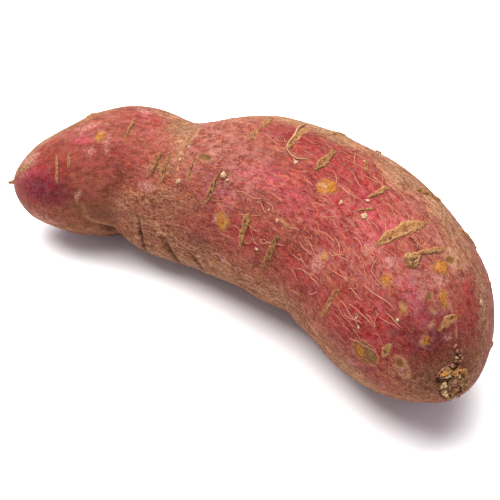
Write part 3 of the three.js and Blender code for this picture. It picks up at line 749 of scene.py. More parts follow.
def skin_relief(along, turn, radius, places):
    """Height of the skin's own relief in millimetres, and the marks and edges that its colours use."""
    height = lumpy(places, "skin")
    straight = np.stack([along / COMBING, places[:, 1], places[:, 2]], 1)
    height += lumpy(straight, "combed skin") + lumpy(places, "fine skin")
    fold = BELLY_FOLD["height"] * bell(along - BELLY_FOLD["along"], BELLY_FOLD["reach"])
    height += fold * bell(turn_between(BELLY_FOLD["turn"], turn), BELLY_FOLD["spread"])

    lobe = LOBE_RINGS["share"] * bell(along - LOBE_RINGS["along"], LOBE_RINGS["reach"])
    lobe *= bell(turn_between(LOBE_RINGS["turn"], turn), LOBE_RINGS["spread"])
    pinch = bell(along - RINGS["along"], RINGS["reach"]) + lobe
    wander = lumpy(places, "wander of the rings")
    broken = smooth(-0.15, 0.4, lumps(places, 8, 6))
    rings = 0.5 + 0.5 * np.cos(2 * np.pi * (along + wander) / RINGS["apart"])
    height -= RINGS["depth"] * pinch * broken * rings**3

    # The skin rises a little to each lenticel.
    cork_edge = np.full(len(along), NO_MARK)
    for ends, turns, widths, _ in ALL_LENTICELS:
        gap, share = beside(along, turn, radius, ends, turns)
        width = evenly(share, widths)
        height += RISE["lenticel"] * np.minimum(1, width) * bell(gap, width * 0.9 + 0.2)
        cork_edge = np.minimum(cork_edge, gap - width / 2)

    # Each crease has a low lip beside it, and its floor is marked for painted shade.
    hollow = np.zeros(len(along))
    uneven = 0.3 * lumps(places, 2.5, 8)
    for ends, turns, width, depth in CREASES:
        gap, share = beside(along, turn, radius, ends, turns)
        gap = gap + uneven
        full = taper(share, 0.04, 0.6)
        height -= depth * full * bell(gap, width / 2)
        height += RISE["crease_lip"] * depth * full * bell(gap - width * 1.1, width * 0.7)
        hollow = np.maximum(hollow, min(1, depth / 0.9) * full * bell(gap, width * 0.5))
    gap, share = line_gap(along, turn, radius, CREVICE["places"])
    cleft = taper(share, 0.05, 0.7) * bell(gap, CREVICE["width"] / 2)
    height -= CREVICE["depth"] * cleft
    hollow = np.maximum(hollow, 0.9 * cleft)

    pale_line = np.zeros(len(along))
    uneven = 0.35 * lumps(places, 1.8, 13)
    for line, width in PALE_LINES:
        gap, share = line_gap(along, turn, radius, line)
        streak = taper(share, 0.03, 0.5) * bell(gap + uneven, width / 2)
        height += RISE["pale_line"] * streak
        pale_line = np.maximum(pale_line, streak)

    # Scabs stand proud or lie sunken, and the sunken ones have a rim.
    marks = {"cork_edge": cork_edge, "hollow": hollow, "pale_line": pale_line}
    crust = 0.5 + 0.9 * lumps(places, 1, 14)
    for name, (rise, outlines) in SCABS.items():
        edge = np.full(len(along), NO_MARK)
        for corners in outlines:
            edge = np.minimum(edge, outline_gap(along, turn, corners))
        inside = smooth(0.3, -0.3, edge)
        rim = RISE["scab_rim"] * bell(edge - 0.3, 0.5) if rise < 0 else 0
        height += rise * inside * crust + rim
        marks[name] = edge
    return height, marks


def make_skin():
    """The skin of the whole root, drawn out of a ball, with its fine relief in the mesh."""
    skin, share, azimuth = new_ball(SKIN["segments"], SKIN["rings"])
    along = ring_places(share)
    crowd = math.radians(SKIN["crowd_turn"])
    round_angle = -azimuth - SKIN["crowding"] * np.sin(-azimuth - crowd)
    turn = (np.degrees(round_angle) + 180) % 360 - 180
    close = closing(along)
    reach = section(along)[1] * close
    base = skin_points(along, turn)
    height, marks = skin_relief(along, turn, reach, base)
    write_points(skin, skin_points(along, turn, height * np.sqrt(close)))

    angle = np.radians(turn)
    store(skin, grain=np.stack([along, reach * np.cos(angle), reach * np.sin(angle)], 1))
    patchy = 0.16 * lumps(base, 9, 11, 3)
    for name, zones in ZONES.items():
        store(skin, **{name: np.clip(zone(along, turn, zones) + patchy, 0, 1)})
    clear = 1 - 0.4 * zone(along, turn, ZONES["red"] + ZONES["purple"])
    crisp = 0.3 + 0.7 * smooth(*CRISP, along)
    store(skin, crisp=crisp, hairy=crisp * clear, **marks)
    whole = joined([skin], "root_skin")
    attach(whole, "root")
    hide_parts("sweet_potato")
    return whole


def cork_bar(mark, number):
    """One lenticel: two crumbly lips with a split between, cracked across, sunk into the skin."""
    ends, turns, widths, tone = mark
    bar, share, azimuth = new_ball(BAR["segments"], BAR["rings"])
    middle = ends[0] + (ends[1] - ends[0]) * share
    face = turns[0] + (turns[1] - turns[0]) * share
    reach = (section(middle)[1] * closing(middle)).mean()
    down = share * math.hypot(ends[1] - ends[0], math.radians(turns[1] - turns[0]) * reach)
    across = -np.cos(azimuth)
    rounded = np.sqrt(1 - np.abs(2 * share - 1) ** 9)
    half = BAR["half"] * evenly(share, widths) * rounded

    def wobble(offset, size, seed):
        """Noise down this bar alone, and apart for each offset."""
        row = np.full(len(share), number * 7.7)
        return lumps(np.stack([row, down, 0 * row + offset], 1), size, seed)

    ragged = 1 + 0.4 * wobble(3 * np.sign(across), 1.7, 1) + 0.25 * wobble(3 * np.sign(across), 0.6, 2)
    place_along = middle + across * ragged * half + 0.35 * wobble(0, 2.6, 3) * rounded
    base = skin_points(place_along, face)
    flat = 1 - np.abs(across) ** 5
    split_at = 0.35 * wobble(9, 1.6, 4)
    split = bell(across - split_at, BAR["split"]) * smooth(-0.3, 0.2, wobble(20, 1.8, 4))
    crack_phase = down / BAR["crack_gap"] + 0.7 * lumps(base, 1.4, 15) + 0.25 * across
    cracks = smooth(0.72, 1, np.cos(2 * np.pi * crack_phase)) * smooth(-0.2, 0.3, lumps(base, 1.7, 16))
    crumbs = lumpy(base, "crumbs of a lenticel")
    top = BAR["height"] * flat * (1 - 0.5 * split) + crumbs - 0.3 * cracks
    top = top * np.minimum(1, half * 2)

    pit = np.zeros(len(share))
    radius = section(place_along)[1]
    for at, turned, size in PITS:
        gap = np.hypot(place_along - at, np.radians(turn_between(turned, face)) * radius)
        pit = np.maximum(pit, bell(gap, size * 0.85))
    small_pits = smooth(0.15, 0.45, lumps(base, 1.2, 9 + number % 5)) * (0.2 + 0.6 * tone)
    pit = np.maximum(pit, small_pits * (1 - np.abs(across) ** 3))
    upper = np.maximum(0, np.sin(azimuth))
    lower = np.minimum(0, np.sin(azimuth))
    proud = 0.1 + 0.75 * top * np.minimum(1, upper * 2.5) - 0.85 * pit
    lift = np.where(upper > 0, proud, lower * BAR["sunk"])
    write_points(bar, skin_points(place_along, face, lift))

    # Painted shadow: a dark strip down the far side of each bar.
    painted_far_shadow = smooth(0.6, 0.95, across) * 0.45
    core = 1 - smooth(0.25, 0.75, np.abs(across + split_at) + 0.25 * lumps(base, 1.1, 18))
    # The pits, the split and the cracks are darkened as painted shade.
    store(
        bar,
        pit=np.maximum.reduce([pit, 0.55 * split * flat, 0.6 * cracks, painted_far_shadow]),
        tone=np.clip(tone + 0.3 * lumps(base, 2, 17), 0.1, 1),
        core=core * np.minimum(1, half / 0.8),
        # Paler edges, twice as pale on one side: partly the lips' own cork, partly painted light.
        rim=smooth(0.45, 0.85, np.abs(across)) * np.where(across < 0, 1, 0.5),
    )
    return bar


def make_lenticels():
    whole = joined([cork_bar(mark, number) for number, mark in enumerate(ALL_LENTICELS)], "lenticels")
    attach(whole, "root")
    return whole


def thread(path, widths, proud, sides=3, flat=1.0):
    """A thread through points, as a tube with that many sides: a closed mesh of few faces."""
    path = np.asarray(path)
    last = len(path) - 1
    ball, share, azimuth = new_ball(sides, last)
    ring = np.rint(share * last).astype(int)
    forward = unit(np.gradient(path, axis=0))
    across = unit(np.cross(forward, proud))
    above = np.cross(across, forward)
    size = widths[ring] * ((ring > 0) & (ring < last))
    shaped = path[ring] + across[ring] * (size * np.cos(azimuth))[:, None]
    shaped += above[ring] * (size * flat * np.sin(azimuth))[:, None]
    write_points(ball, shaped)
    return ball


def fibre(places, width, number):
    """A fibre on the skin, along a smooth line through places of along and turn, a little wavy."""
    places = np.asarray(places, float)
    knots = np.linspace(0, 1, len(places))
    at = np.linspace(0, 1, FIBRE_FORM["steps"])
    order = min(3, len(places) - 1)
    along, turn = (np.polyval(np.polyfit(knots, places[:, k], order), at) for k in range(2))
    line = skin_points(along, turn, FIBRE_FORM["lift"])
    away = unit(line - section(along)[0])
    sway = FIBRE_FORM["sway"] * lumps(np.stack([at * 7, at * 0 + number * 3.1, at * 0], 1), 1, 7)
    line = line + np.cross(unit(np.gradient(line, axis=0)), away) * sway[:, None]
    widths = width * (0.35 + 0.65 * np.sin(np.pi * at) ** 0.6)
    piece = thread(line, widths, away, flat=FIBRE_FORM["flat"])
    store_even(piece, tone=(number * 0.37) % 1)
    return piece


def make_fibres():
    """The fibres of the photo, and loose ones where the skin is red."""
    draw = draws_from(LOOSE_FIBRES["seed"])
    least, more = LOOSE_FIBRES["width"]
    pieces = [fibre(places, FIBRE_FORM["width"], number) for number, places in enumerate(FIBRES)]
    while len(pieces) < LOOSE_FIBRES["count"]:
        along, turn, length, drift, sway = drawn(draw, LOOSE_RANGES)
        red = zone(np.array([along]), np.array([turn]), ZONES["red"])[0]
        if next(draw) > (0.08 + red) * smooth(*LOOSE_FIBRES["fade_in"], along):
            continue
        places = [
            (along, turn),
            (along + length * 0.35, turn + (drift * 0.35 * length + sway) * DEGREES_PER_MM),
            (along + length * 0.7, turn + (drift * 0.7 * length - sway) * DEGREES_PER_MM),
            (along + length, turn + drift * length * DEGREES_PER_MM),
        ]
        places = [(min(a, LENGTH - LOOSE_FIBRES["from_pole"]), t) for a, t in places]
        pieces.append(fibre(places, least + more * next(draw), len(pieces)))
    whole = joined(pieces, "skin_fibres")
    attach(whole, "root")
    return whole


def crumb(centre, size, stretch, seed, detail=2):
    """One rough crumb or knob of dry cork."""
    bpy.ops.object.select_all(action="DESELECT")
    bpy.ops.mesh.primitive_ico_sphere_add(subdivisions=detail, radius=1)
    piece = bpy.context.object
    places = points_of(piece)
    rough = 1 + 0.8 * lumps(places, 0.9, seed) + 0.6 * lumps(places, 0.4, seed + 1)
    write_points(piece, centre + (places * rough[:, None] * size) @ stretch)
    # Painted shade and highlight: darker in the crumb's dips, paler on its bumps.
    store(piece, pit=smooth(0.9, 0.55, rough) * 0.6, core=smooth(1, 0.7, rough), rim=smooth(1, 1.4, rough))
    return piece


def facing(along, turn):
    """A place on the skin, and axes there: down the root, round it, and out of it, as rows."""
    here, onward, sideways = skin_points([along, along + 0.4, along], [turn, turn, turn + 1])
    down = (onward - here) / np.linalg.norm(onward - here)
    out = np.cross(sideways - here, down)
    out /= np.linalg.norm(out)
    if np.dot(out, here - section(np.array([along]))[0][0]) < 0:
        out = -out
    return here, np.stack([down, np.cross(out, down), out])


def make_chips():
    """Chips of dry cork on the skin, and the knobs where side roots broke off."""
    draw = draws_from(BACK_CHIPS["seed"])
    chips = CHIPS + [drawn(draw, CHIP_RANGES) for _ in range(BACK_CHIPS["count"])]
    pieces = []
    for number, (along, turn, size, drawn_out) in enumerate(chips):
        here, axes = facing(along, turn)
        slim = np.diag([1 / math.sqrt(drawn_out), math.sqrt(drawn_out), CHIP_FORM["flat"]])
        piece = crumb(here + axes[2] * CHIP_FORM["lift"] * size, size, slim @ axes, number)
        store_even(piece, tone=0)
        pieces.append(piece)
    for number, (along, turn, size, tone) in enumerate(KNOBS):
        here, axes = facing(along, turn)
        flat = np.diag([1, 1, KNOB_FORM["flat"]])
        piece = crumb(here + axes[2] * KNOB_FORM["lift"] * size, size, flat @ axes, number + 60, 3)
        store_even(piece, tone=tone)
        pieces.append(piece)
    whole = joined(pieces, "cork_chips")
    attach(whole, "root")
    return whole


def end_place(side, up, lift=0.0):
    """A place on the stem end, given from its pole, and the way out of the skin there."""
    from_pole = math.hypot(side, up)
    turn = math.degrees(math.atan2(side, up))
    places = np.linspace(LENGTH - STEM_END_LENGTH, LENGTH, STEM_END_STEPS)
    rows = skin_points(places, np.full(len(places), turn))
    reach = np.linalg.norm(rows - section(places)[0], axis=1)
    along = np.interp(-from_pole, -reach, places)
    here = skin_points([along], [turn])[0]
    _, _, forward, ups, sides = section(np.array([LENGTH]))
    outward = ups[0] * math.cos(math.radians(turn)) + sides[0] * math.sin(math.radians(turn))
    away = forward[0] + outward * (STEM_END_BEND * from_pole)
    away /= np.linalg.norm(away)
    return here + away * lift, away


def end_axes(away):
    """Side, up and out at a place of the stem end, as rows."""
    up = np.array([0, 0, 1]) - away[2] * away
    up /= np.linalg.norm(up)
    return np.stack([np.cross(away, up), up, away])


def scar_mound():
    """The sunken middle of the scar, rough and dark brown; its dips are painted darker as shade and its
    bumps paler as highlight.
    """
    middle, away = end_place(SCAR["side"], SCAR["up"])
    mound, share, azimuth = new_ball(SCAR["segments"], SCAR["rings"])
    wide = np.sin(share * np.pi)
    tall = np.cos(share * np.pi)
    x = wide * np.cos(azimuth) * SCAR["width"] / 2
    y = wide * np.sin(azimuth) * SCAR["height"] / 2
    places = np.stack([x, y, tall], 1)
    rough = lumpy(places, "scar")
    proud = np.abs(tall) ** 0.6 * SCAR["proud"] + rough * np.sqrt(np.abs(tall))
    z = np.where(tall > 0, proud, tall * SCAR["sunk"])
    z -= SCAR["bend"] * (y * y + x * x)
    outward = 1 + 0.08 * np.sin(3 * azimuth + 1) + 0.06 * np.sin(7 * azimuth)
    write_points(mound, middle + np.stack([x * outward, y * outward, z], 1) @ end_axes(away))
    # Painted shade in the dips and painted highlight on the bumps.
    store(mound, pit=np.clip(smooth(0.35, -0.4, rough), 0, 1), rim=smooth(0.1, 0.6, rough))
    store_even(mound, tint=TINTS["brown"])
    return mound


def scar_crumb(side, up, size, tint, number, draw):
    """A crumb, splinter or bead of the scar, turned and drawn out by the next draws."""
    lift = 0.1 if tint in SUNKEN_TINTS else 0.25 + 0.45 * next(draw)
    place, away = end_place(SCAR["spread"] * side, SCAR["spread"] * up, lift)
    lean = next(draw) * math.pi
    drawn_out = 0.9 + 0.8 * next(draw)
    turned = np.array([
        [math.cos(lean) * drawn_out, math.sin(lean) * drawn_out, 0.5 * next(draw)],
        [-math.sin(lean) / drawn_out, math.cos(lean) / drawn_out, 0.3],
        [0.3 * next(draw), 0, 0.8],
    ])
    piece = crumb(place, size, turned @ end_axes(away), number + 90)
    store_even(piece, tint=TINTS[tint])
    return piece


def make_stem_scar():
    """The woody end where the stem was cut: a dark sunken middle in broken wood, dark crumbs set low as
    painted shade in its cavities, and beads of cork.
    """
    draw = draws_from(SCAR["seed"])
    pieces = [scar_mound()]
    for number, crumb_row in enumerate(SCAR_CRUMBS + SCAR_BEADS):
        pieces.append(scar_crumb(*crumb_row, number, draw))
    path = [end_place(side, up, COLLAR["lift"]) for side, up, _ in SCAR_COLLAR]
    at = np.linspace(0, 1, COLLAR["steps"])
    line, out = (
        np.stack([evenly(at, row) for row in np.array(rows).T], 1) for rows in zip(*path)
    )
    widths = evenly(at, [width for _, _, width in SCAR_COLLAR]) * (1 + 0.18 * np.sin(at * 31))
    collar = thread(line, widths, unit(out), COLLAR["sides"], COLLAR["flat"])
    store_even(collar, pit=0, rim=0.5, tint=TINTS["rose"])
    whole = joined([*pieces, collar], "stem_scar", 35, mirrored=True)
    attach(whole, "root")
    return whole


def rootlet(places, lifts, widths, steps):
    """A dry rootlet over the skin, through places of along and turn, at heights above it."""
    at = np.linspace(0, 1, steps)
    bends = (np.pad(evenly(at, row), 2, mode="edge") for row in np.asarray(places, float).T)
    along, turn = (np.convolve(row, SMOOTHING, "valid") for row in bends)
    line = skin_points(along, turn, evenly(at, lifts))
    piece = thread(line, evenly(at, widths), unit(line - section(along)[0]), ROOTLET_SIDES)
    store_even(piece, tone=0.05, pit=0, core=0, rim=0.8)
    return piece


def tail_stub():
    """The broken stub of the thin tail root at the far tip."""
    centre, _, forward, up, side = (rows[0] for rows in section(np.array([0.0])))
    at = np.linspace(0, 1, TAIL["steps"])
    line = centre - forward * (at * (TAIL["length"] + TAIL["sunk"]) - TAIL["sunk"])[:, None]
    line = line + up * (TAIL["wave"] * np.sin(at * 5))[:, None] - side * (TAIL["bend"] * at**2)[:, None]
    widths = TAIL["tip"] + (TAIL["base"] - TAIL["tip"]) * (1 - at) ** 1.5
    widths = widths * (1 + TAIL["uneven"] * np.sin(at * 23))
    tail = thread(line, widths, np.tile(up, (TAIL["steps"], 1)), TAIL["sides"])
    store_even(tail, tone=0.55, pit=0, core=0.4, rim=0.2)
    return tail


def make_rootlets():
    """The rootlets of the photo, short ones on the back, and the tail's stub."""
    pieces = [rootlet(*row) for row in ROOTLETS]
    draw = draws_from(SHORT_ROOTLETS["seed"])
    for _ in range(SHORT_ROOTLETS["count"]):
        along, turn, length, bend = drawn(draw, SHORT_RANGES)
        middle = (along + 0.5 * length, turn + 3 * bend)
        end = (along + 0.8 * length, turn + 7 * bend)
        pieces.append(rootlet([(along, turn), middle, end], *SHORT_SHAPE))
    whole = joined([*pieces, tail_stub()], "rootlets")
    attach(whole, "root")
    return whole


# Colours of the skin and the cork.
ROSE = (0.178, 0.032, 0.022, 1)
BRICK = (0.135, 0.021, 0.013, 1)
CRIMSON = (0.18, 0.006, 0.011, 1)
MAGENTA = (0.27, 0.032, 0.052, 1)
PLUM = (0.095, 0.002, 0.01, 1)
RUSSET = (0.155, 0.045, 0.018, 1)
RUSSET_PALE = (0.31, 0.155, 0.072, 1)
RUSSET_DARK = (0.092, 0.023, 0.01, 1)
TAN = (0.158, 0.073, 0.029, 1)
TAN_PALE = (0.275, 0.158, 0.072, 1)
FELT_PALE = (0.4, 0.215, 0.12, 1)
UMBER = (0.036, 0.009, 0.006, 1)
DUST = (0.36, 0.165, 0.135, 1)
LILAC = (0.3, 0.12, 0.145, 1)
FIBRE = (0.44, 0.16, 0.08, 1)
FIBRE_DIM = (0.3, 0.08, 0.045, 1)
OCHRE = (0.31, 0.115, 0.018, 1)
OCHRE_DARK = (0.2, 0.062, 0.01, 1)
OLIVE = (0.12, 0.055, 0.018, 1)
CREAM = (0.5, 0.36, 0.23, 1)
CORK_TAN = (0.2, 0.085, 0.027, 1)
CORK_PALE = (0.38, 0.2, 0.086, 1)
# A near-black brown for painted shade in creases, the crevice and pits.
PAINTED_SHADE_BROWN = (0.016, 0.006, 0.003, 1)
SNOW = (0.9, 0.9, 0.9, 1)

# Patterns of the skin: size, detail and roughness of the noise in each, and for those that are
# combed down the root, how much it is drawn out and how much it is warped.
PATTERNS = {"fine": (1.25, 4, 0.6), "middling": (0.42, 3, 0.6), "coarse": (0.12, 3, 0.55)}
COMBED_PATTERNS = {
    "streaks": ((0.3, 1.1, 1.1), 4, 0.6, 0.6),
    "combed": ((0.16, 0.7, 0.7), 3, 0.6, 0.3),
    "dashes": ((0.22, 1.3, 1.3), 2, 0.5, 0.4),
}

# How far the skin's and the cork's bumps reach, in metres.
SKIN_BUMP = 0.00032
CORK_BUMP = 0.0003


def fill(tree, node, inputs):
    """Puts values or links on a node's inputs."""
    for name, value in inputs.items():
        if isinstance(value, bpy.types.NodeSocket):
            tree.links.new(value, node.inputs[name])
        else:
            node.inputs[name].default_value = value


def put(tree, kind, inputs=None, **settings):
    """Adds a shader node, with its settings, and values or links on its inputs."""
    node = tree.nodes.new(kind)
    for name, value in settings.items():
        setattr(node, name, value)
    fill(tree, node, inputs or {})
    return node


def calc(tree, operation, a, b=0.0, c=0.0):
    return put(tree, "ShaderNodeMath", {0: a, 1: b, 2: c}, operation=operation).outputs[0]


def times(tree, a, b, plus=0.0):
    return calc(tree, "MULTIPLY_ADD", a, b, plus)


def mix(tree, share, a, b, blend="MIX"):
    node = put(tree, "ShaderNodeMix", {0: share, 6: a, 7: b}, data_type="RGBA", blend_type=blend)
    return node.outputs[2]


def painted(tree, colour, *layers):
    """A colour with layers of paint over it, each by a share of a mask."""
    for mask, share, paint in layers:
        colour = mix(tree, times(tree, mask, share), colour, paint)
    return colour


def step(tree, value, low, high, start=0.0, end=1.0):
    """Turns a value between low and high into a smooth share from start to end."""
    sockets = {"Value": value, "From Min": low, "From Max": high, "To Min": start, "To Max": end}
    return put(tree, "ShaderNodeMapRange", sockets, interpolation_type="SMOOTHSTEP").outputs[0]


def mottled(tree, colour, share, *steps):
    """A colour made darker and lighter by a stepped value, as strongly as the share says."""
    return mix(tree, share, colour, step(tree, *steps), "MULTIPLY")


def kept(tree, name, vector=False):
    node = put(tree, "ShaderNodeAttribute", attribute_name=name)
    return node.outputs["Vector" if vector else "Fac"]


def noise_at(tree, place, scale, detail=2.0, rough=0.5, warp=0.0):
    sockets = {"Vector": place, "Scale": scale, "Detail": detail, "Roughness": rough, "Distortion": warp}
    return put(tree, "ShaderNodeTexNoise", sockets).outputs[0]


def scaled(tree, place, scale):
    return put(tree, "ShaderNodeVectorMath", {0: place, 1: scale}, operation="MULTIPLY").outputs[0]


def new_group(name, mask_of, **inputs):
    """A shader group with named inputs, None for a vector, that puts out the mask that a function makes."""
    tree = bpy.data.node_groups.new(name, "ShaderNodeTree")
    for label, value in inputs.items():
        kind = "NodeSocketVector" if value is None else "NodeSocketFloat"
        socket = tree.interface.new_socket(label, in_out="INPUT", socket_type=kind)
        if value is not None:
            socket.default_value = value
    tree.interface.new_socket("Mask", in_out="OUTPUT", socket_type="NodeSocketFloat")
    mask = mask_of(tree, put(tree, "NodeGroupInput").outputs)
    fill(tree, put(tree, "NodeGroupOutput"), {"Mask": mask})
    return tree


def granules_mask(tree, given):
    """Small grains scattered over a surface, with a share of the cells lit."""
    scale = calc(tree, "DIVIDE", 1.0, given["Size"])
    cells = put(tree, "ShaderNodeTexVoronoi", {"Vector": given["Place"], "Scale": scale}).outputs
    chance = put(tree, "ShaderNodeSeparateColor", {0: cells["Color"]}).outputs[0]
    lit = calc(tree, "LESS_THAN", chance, given["Share"])
    return times(tree, step(tree, cells["Distance"], 0.5, 0.12), lit)


def ragged_mask(tree, given):
    """The inside of a mark from its stored edge distance, with a ragged outline."""
    rough = noise_at(tree, given["Place"], 1.1, 4, 0.65)
    edge = times(tree, calc(tree, "SUBTRACT", rough, 0.5), given["Ragged"], given["Edge"])
    return step(tree, calc(tree, "DIVIDE", edge, given["Soft"]), 1.0, -1.0)


def breakup_mask(tree, given):
    """A zone's weight broken into speckle, so that one colour gives way to the next unevenly."""
    centred = calc(tree, "SUBTRACT", given["Pattern"], 0.5)
    moved = times(tree, centred, given["Spread"], given["Weight"])
    return step(tree, moved, *(calc(tree, side, 0.5, given["Soft"]) for side in ("SUBTRACT", "ADD")))


def felt_mask(tree, given):
    """Thin curving lines, like the loose pale fibres of a dry skin: 1 on them."""
    rough = noise_at(tree, given["Place"], 1.0, 1.5, 0.5, 0.6)
    away = calc(tree, "ABSOLUTE", calc(tree, "SUBTRACT", rough, 0.5))
    return step(tree, away, given["Line"], 0.0)


GRANULES = new_group("Granules", granules_mask, Place=None, Size=1.0, Share=0.4)
RAGGED = new_group("Ragged mark", ragged_mask, Edge=1.0, Place=None, Ragged=0.4, Soft=0.15)
BREAKUP = new_group("Breakup", breakup_mask, Weight=0.5, Pattern=0.5, Spread=1.0, Soft=0.3)
FELT = new_group("Felt lines", felt_mask, Place=None, Line=0.03)


def use(tree, group, **inputs):
    node = put(tree, "ShaderNodeGroup", node_tree=group)
    fill(tree, node, inputs)
    return node.outputs[0]


def new_material(name):
    material = bpy.data.materials.new(name)
    material.use_nodes = True
    tree = material.node_tree
    return material, tree, tree.nodes["Principled BSDF"]


def place_mm(tree):
    """The piece's own place in millimetres."""
    return scaled(tree, put(tree, "ShaderNodeTexCoord").outputs["Object"], (1000, 1000, 1000))


def bumped(tree, height, strength, distance):
    sockets = {"Height": height, "Strength": strength, "Distance": distance}
    return put(tree, "ShaderNodeBump", sockets).outputs[0]


def zoned(tree, name, pattern, spread, soft):
    """How strongly a stored zone shows, broken up by a pattern."""
    return use(tree, BREAKUP, Weight=kept(tree, name), Pattern=pattern, Spread=spread, Soft=soft)


def skin_ground(tree, patterns):
    """The skin's colour by its zones, and how bare and brown it is."""
    fine, middling, coarse, streaks = patterns
    colour = mix(tree, step(tree, coarse, 0.35, 0.65), ROSE, BRICK)

    # Bare tan and brown ground comes through as fine speckle and streaks.
    speck = times(tree, fine, 0.55, times(tree, streaks, 0.45))
    brown = zoned(tree, "brown", speck, 1.5, 0.4)
    tan = zoned(tree, "tan", speck, 1.6, 0.4)
    ground = mix(tree, step(tree, speck, 0.36, 0.5), RUSSET, TAN)
    colour = painted(
        tree, colour,
        (zoned(tree, "red", streaks, 0.9, 0.5), 1, CRIMSON),
        (zoned(tree, "pink", middling, 1.3, 0.4), 0.85, MAGENTA),
        (zoned(tree, "purple", middling, 1.1, 0.45), 0.95, PLUM),
        (brown, 0.9, mix(tree, step(tree, fine, 0.36, 0.56), RUSSET_DARK, RUSSET)),
        (tan, 0.9, mix(tree, step(tree, speck, 0.5, 0.62), ground, TAN_PALE)),
    )
    return colour, calc(tree, "MAXIMUM", brown, tan)


def skin_felt(tree, place, grain, bare):
    """A mask of loose pale fibres: long ones down the root, and short ones in every direction."""
    felt = use(tree, FELT, Place=scaled(tree, grain, (0.1, 0.45, 0.45)), Line=0.032)
    short = use(tree, FELT, Place=scaled(tree, grain, (0.24, 0.65, 0.65)), Line=0.045)
    loose = use(tree, FELT, Place=scaled(tree, place, (0.5, 0.62, 0.56)), Line=0.04)
    felt = calc(tree, "MAXIMUM", felt, times(tree, short, 0.8))
    felt = calc(tree, "MAXIMUM", felt, times(tree, loose, times(tree, bare, 0.45, 0.4)))
    return times(tree, felt, kept(tree, "hairy"))


def skin_marks(tree, colour, place, fine, middling):
    """The colour with its scrapes, scabs and lines over it and painted shade in its creases, and the mask of
    the ochre scabs.
    """

    def ragged(edge, rough, soft, inset=0.0):
        """The inside of a mark, by its stored edge moved in by so many millimetres."""
        moved = calc(tree, "SUBTRACT", kept(tree, edge), inset)
        return use(tree, RAGGED, Edge=moved, Place=place, Ragged=rough, Soft=soft)

    bark = mix(tree, step(tree, middling, 0.45, 0.62), OLIVE, TAN)
    ochre = ragged("ochre_edge", 3.4, 0.2)
    scab = mix(tree, step(tree, fine, 0.38, 0.58), OCHRE_DARK, OCHRE)
    colour = painted(
        tree, colour,
        (ragged("pale_edge", 4, 1.1), step(tree, fine, 0.4, 0.6, 0.05, 0.8), DUST),
        (ragged("brown_edge", 1.2, 0.3, 0.7), step(tree, middling, 0.4, 0.6, 0.15, 0.5), RUSSET_PALE),
        (ragged("brown_edge", 1.1, 0.3), 1, mottled(tree, bark, 1.0, fine, 0.34, 0.66, 0.7, 1.2)),
        (ragged("ochre_edge", 2.4, 0.25, 0.5), step(tree, middling, 0.4, 0.6, 0.1, 0.5), RUSSET_PALE),
        (ochre, 0.95, mix(tree, step(tree, middling, 0.5, 0.6, 0.0, 0.7), scab, RUSSET_PALE)),
        (ragged("cork_edge", 1.2, 0.3), 0.6, RUSSET),
        # Pale lines: partly the skin's own, partly painted light on the lower rims.
        (kept(tree, "pale_line"), step(tree, fine, 0.3, 0.6, 0.4, 0.85), RUSSET_PALE),
        # Painted shade: the floors of the creases and the crevice go near-black brown.
        (kept(tree, "hollow"), 0.88, PAINTED_SHADE_BROWN),
    )
    return colour, ochre


def skin_material():
    material, tree, shader = new_material("Sweet potato skin")
    place = place_mm(tree)
    grain = kept(tree, "grain", vector=True)
    fine, middling, coarse = (noise_at(tree, place, *row) for row in PATTERNS.values())
    streaks, combed, dashes = (
        noise_at(tree, scaled(tree, grain, drawn_out), 1.0, *row)
        for drawn_out, *row in COMBED_PATTERNS.values()
    )
    colour, bare = skin_ground(tree, (fine, middling, coarse, streaks))

    # Mottling: darker and lighter dashes drawn out down the root, and softer blotches.
    crisp = kept(tree, "crisp")
    colour = mottled(tree, colour, crisp, dashes, 0.36, 0.6, 0.86, 1.06)
    colour = mottled(tree, colour, 1.0, combed, 0.34, 0.66, 0.7, 1.22)
    colour = mottled(tree, colour, crisp, fine, 0.36, 0.64, 0.76, 1.18)

    # Loose fibres, dust and painted light, pale granules, dark pores, and dark patches that are partly
    # stains and partly painted shade, one over the other.
    felt = skin_felt(tree, place, grain, bare)
    shown = times(tree, felt, step(tree, coarse, 0.3, 0.62, 0.5, 0.9))
    dust_and_painted_light = kept(tree, "dust_and_painted_light")
    film = mix(tree, kept(tree, "purple"), DUST, LILAC)
    grains = use(tree, GRANULES, Place=place, Size=0.62, Share=0.42)
    pores = use(tree, GRANULES, Place=scaled(tree, grain, (0.6, 1, 1)), Size=0.7, Share=0.14)
    colour = painted(
        tree, colour,
        (shown, times(tree, bare, 0.4, 0.6), mix(tree, bare, FIBRE, FELT_PALE)),
        (step(tree, middling, 0.35, 0.7), times(tree, dust_and_painted_light, 0.36, 0.13), film),
        (grains, times(tree, dust_and_painted_light, 0.65, 0.16), DUST),
        (pores, 0.25, UMBER),
        (zoned(tree, "dark", fine, 0.9, 0.5), 0.5, UMBER),
    )
    colour, ochre = skin_marks(tree, colour, place, fine, middling)

    relief = times(tree, fine, 0.6, times(tree, streaks, 0.4))
    for mask, height in ((felt, 0.3), (grains, 0.3), (ochre, 0.5), (pores, -0.2)):
        relief = times(tree, mask, height, relief)
    fill(tree, shader, {
        "Base Color": colour,
        "Roughness": times(tree, fine, 0.15, times(tree, bare, 0.15, 0.55)),
        "Specular IOR Level": 0.06,
        "Normal": bumped(tree, relief, 1.0, SKIN_BUMP),
    })
    return material


def finish_cork(tree, shader, colour, fine, middling):
    """Pores, pits painted dark as shade, roughness and relief, the same on every dry cork."""
    pores = use(tree, GRANULES, Place=place_mm(tree), Size=0.8, Share=0.4)
    painted_pit_shade = zoned(tree, "pit", fine, 0.8, 0.22)
    relief = times(tree, pores, -0.7, calc(tree, "ADD", fine, middling))
    fill(tree, shader, {
        "Base Color": painted(tree, colour, (pores, 0.5, UMBER), (painted_pit_shade, 0.92, PAINTED_SHADE_BROWN)),
        "Roughness": 0.85,
        "Specular IOR Level": 0.08,
        "Normal": bumped(tree, relief, 0.9, CORK_BUMP),
    })


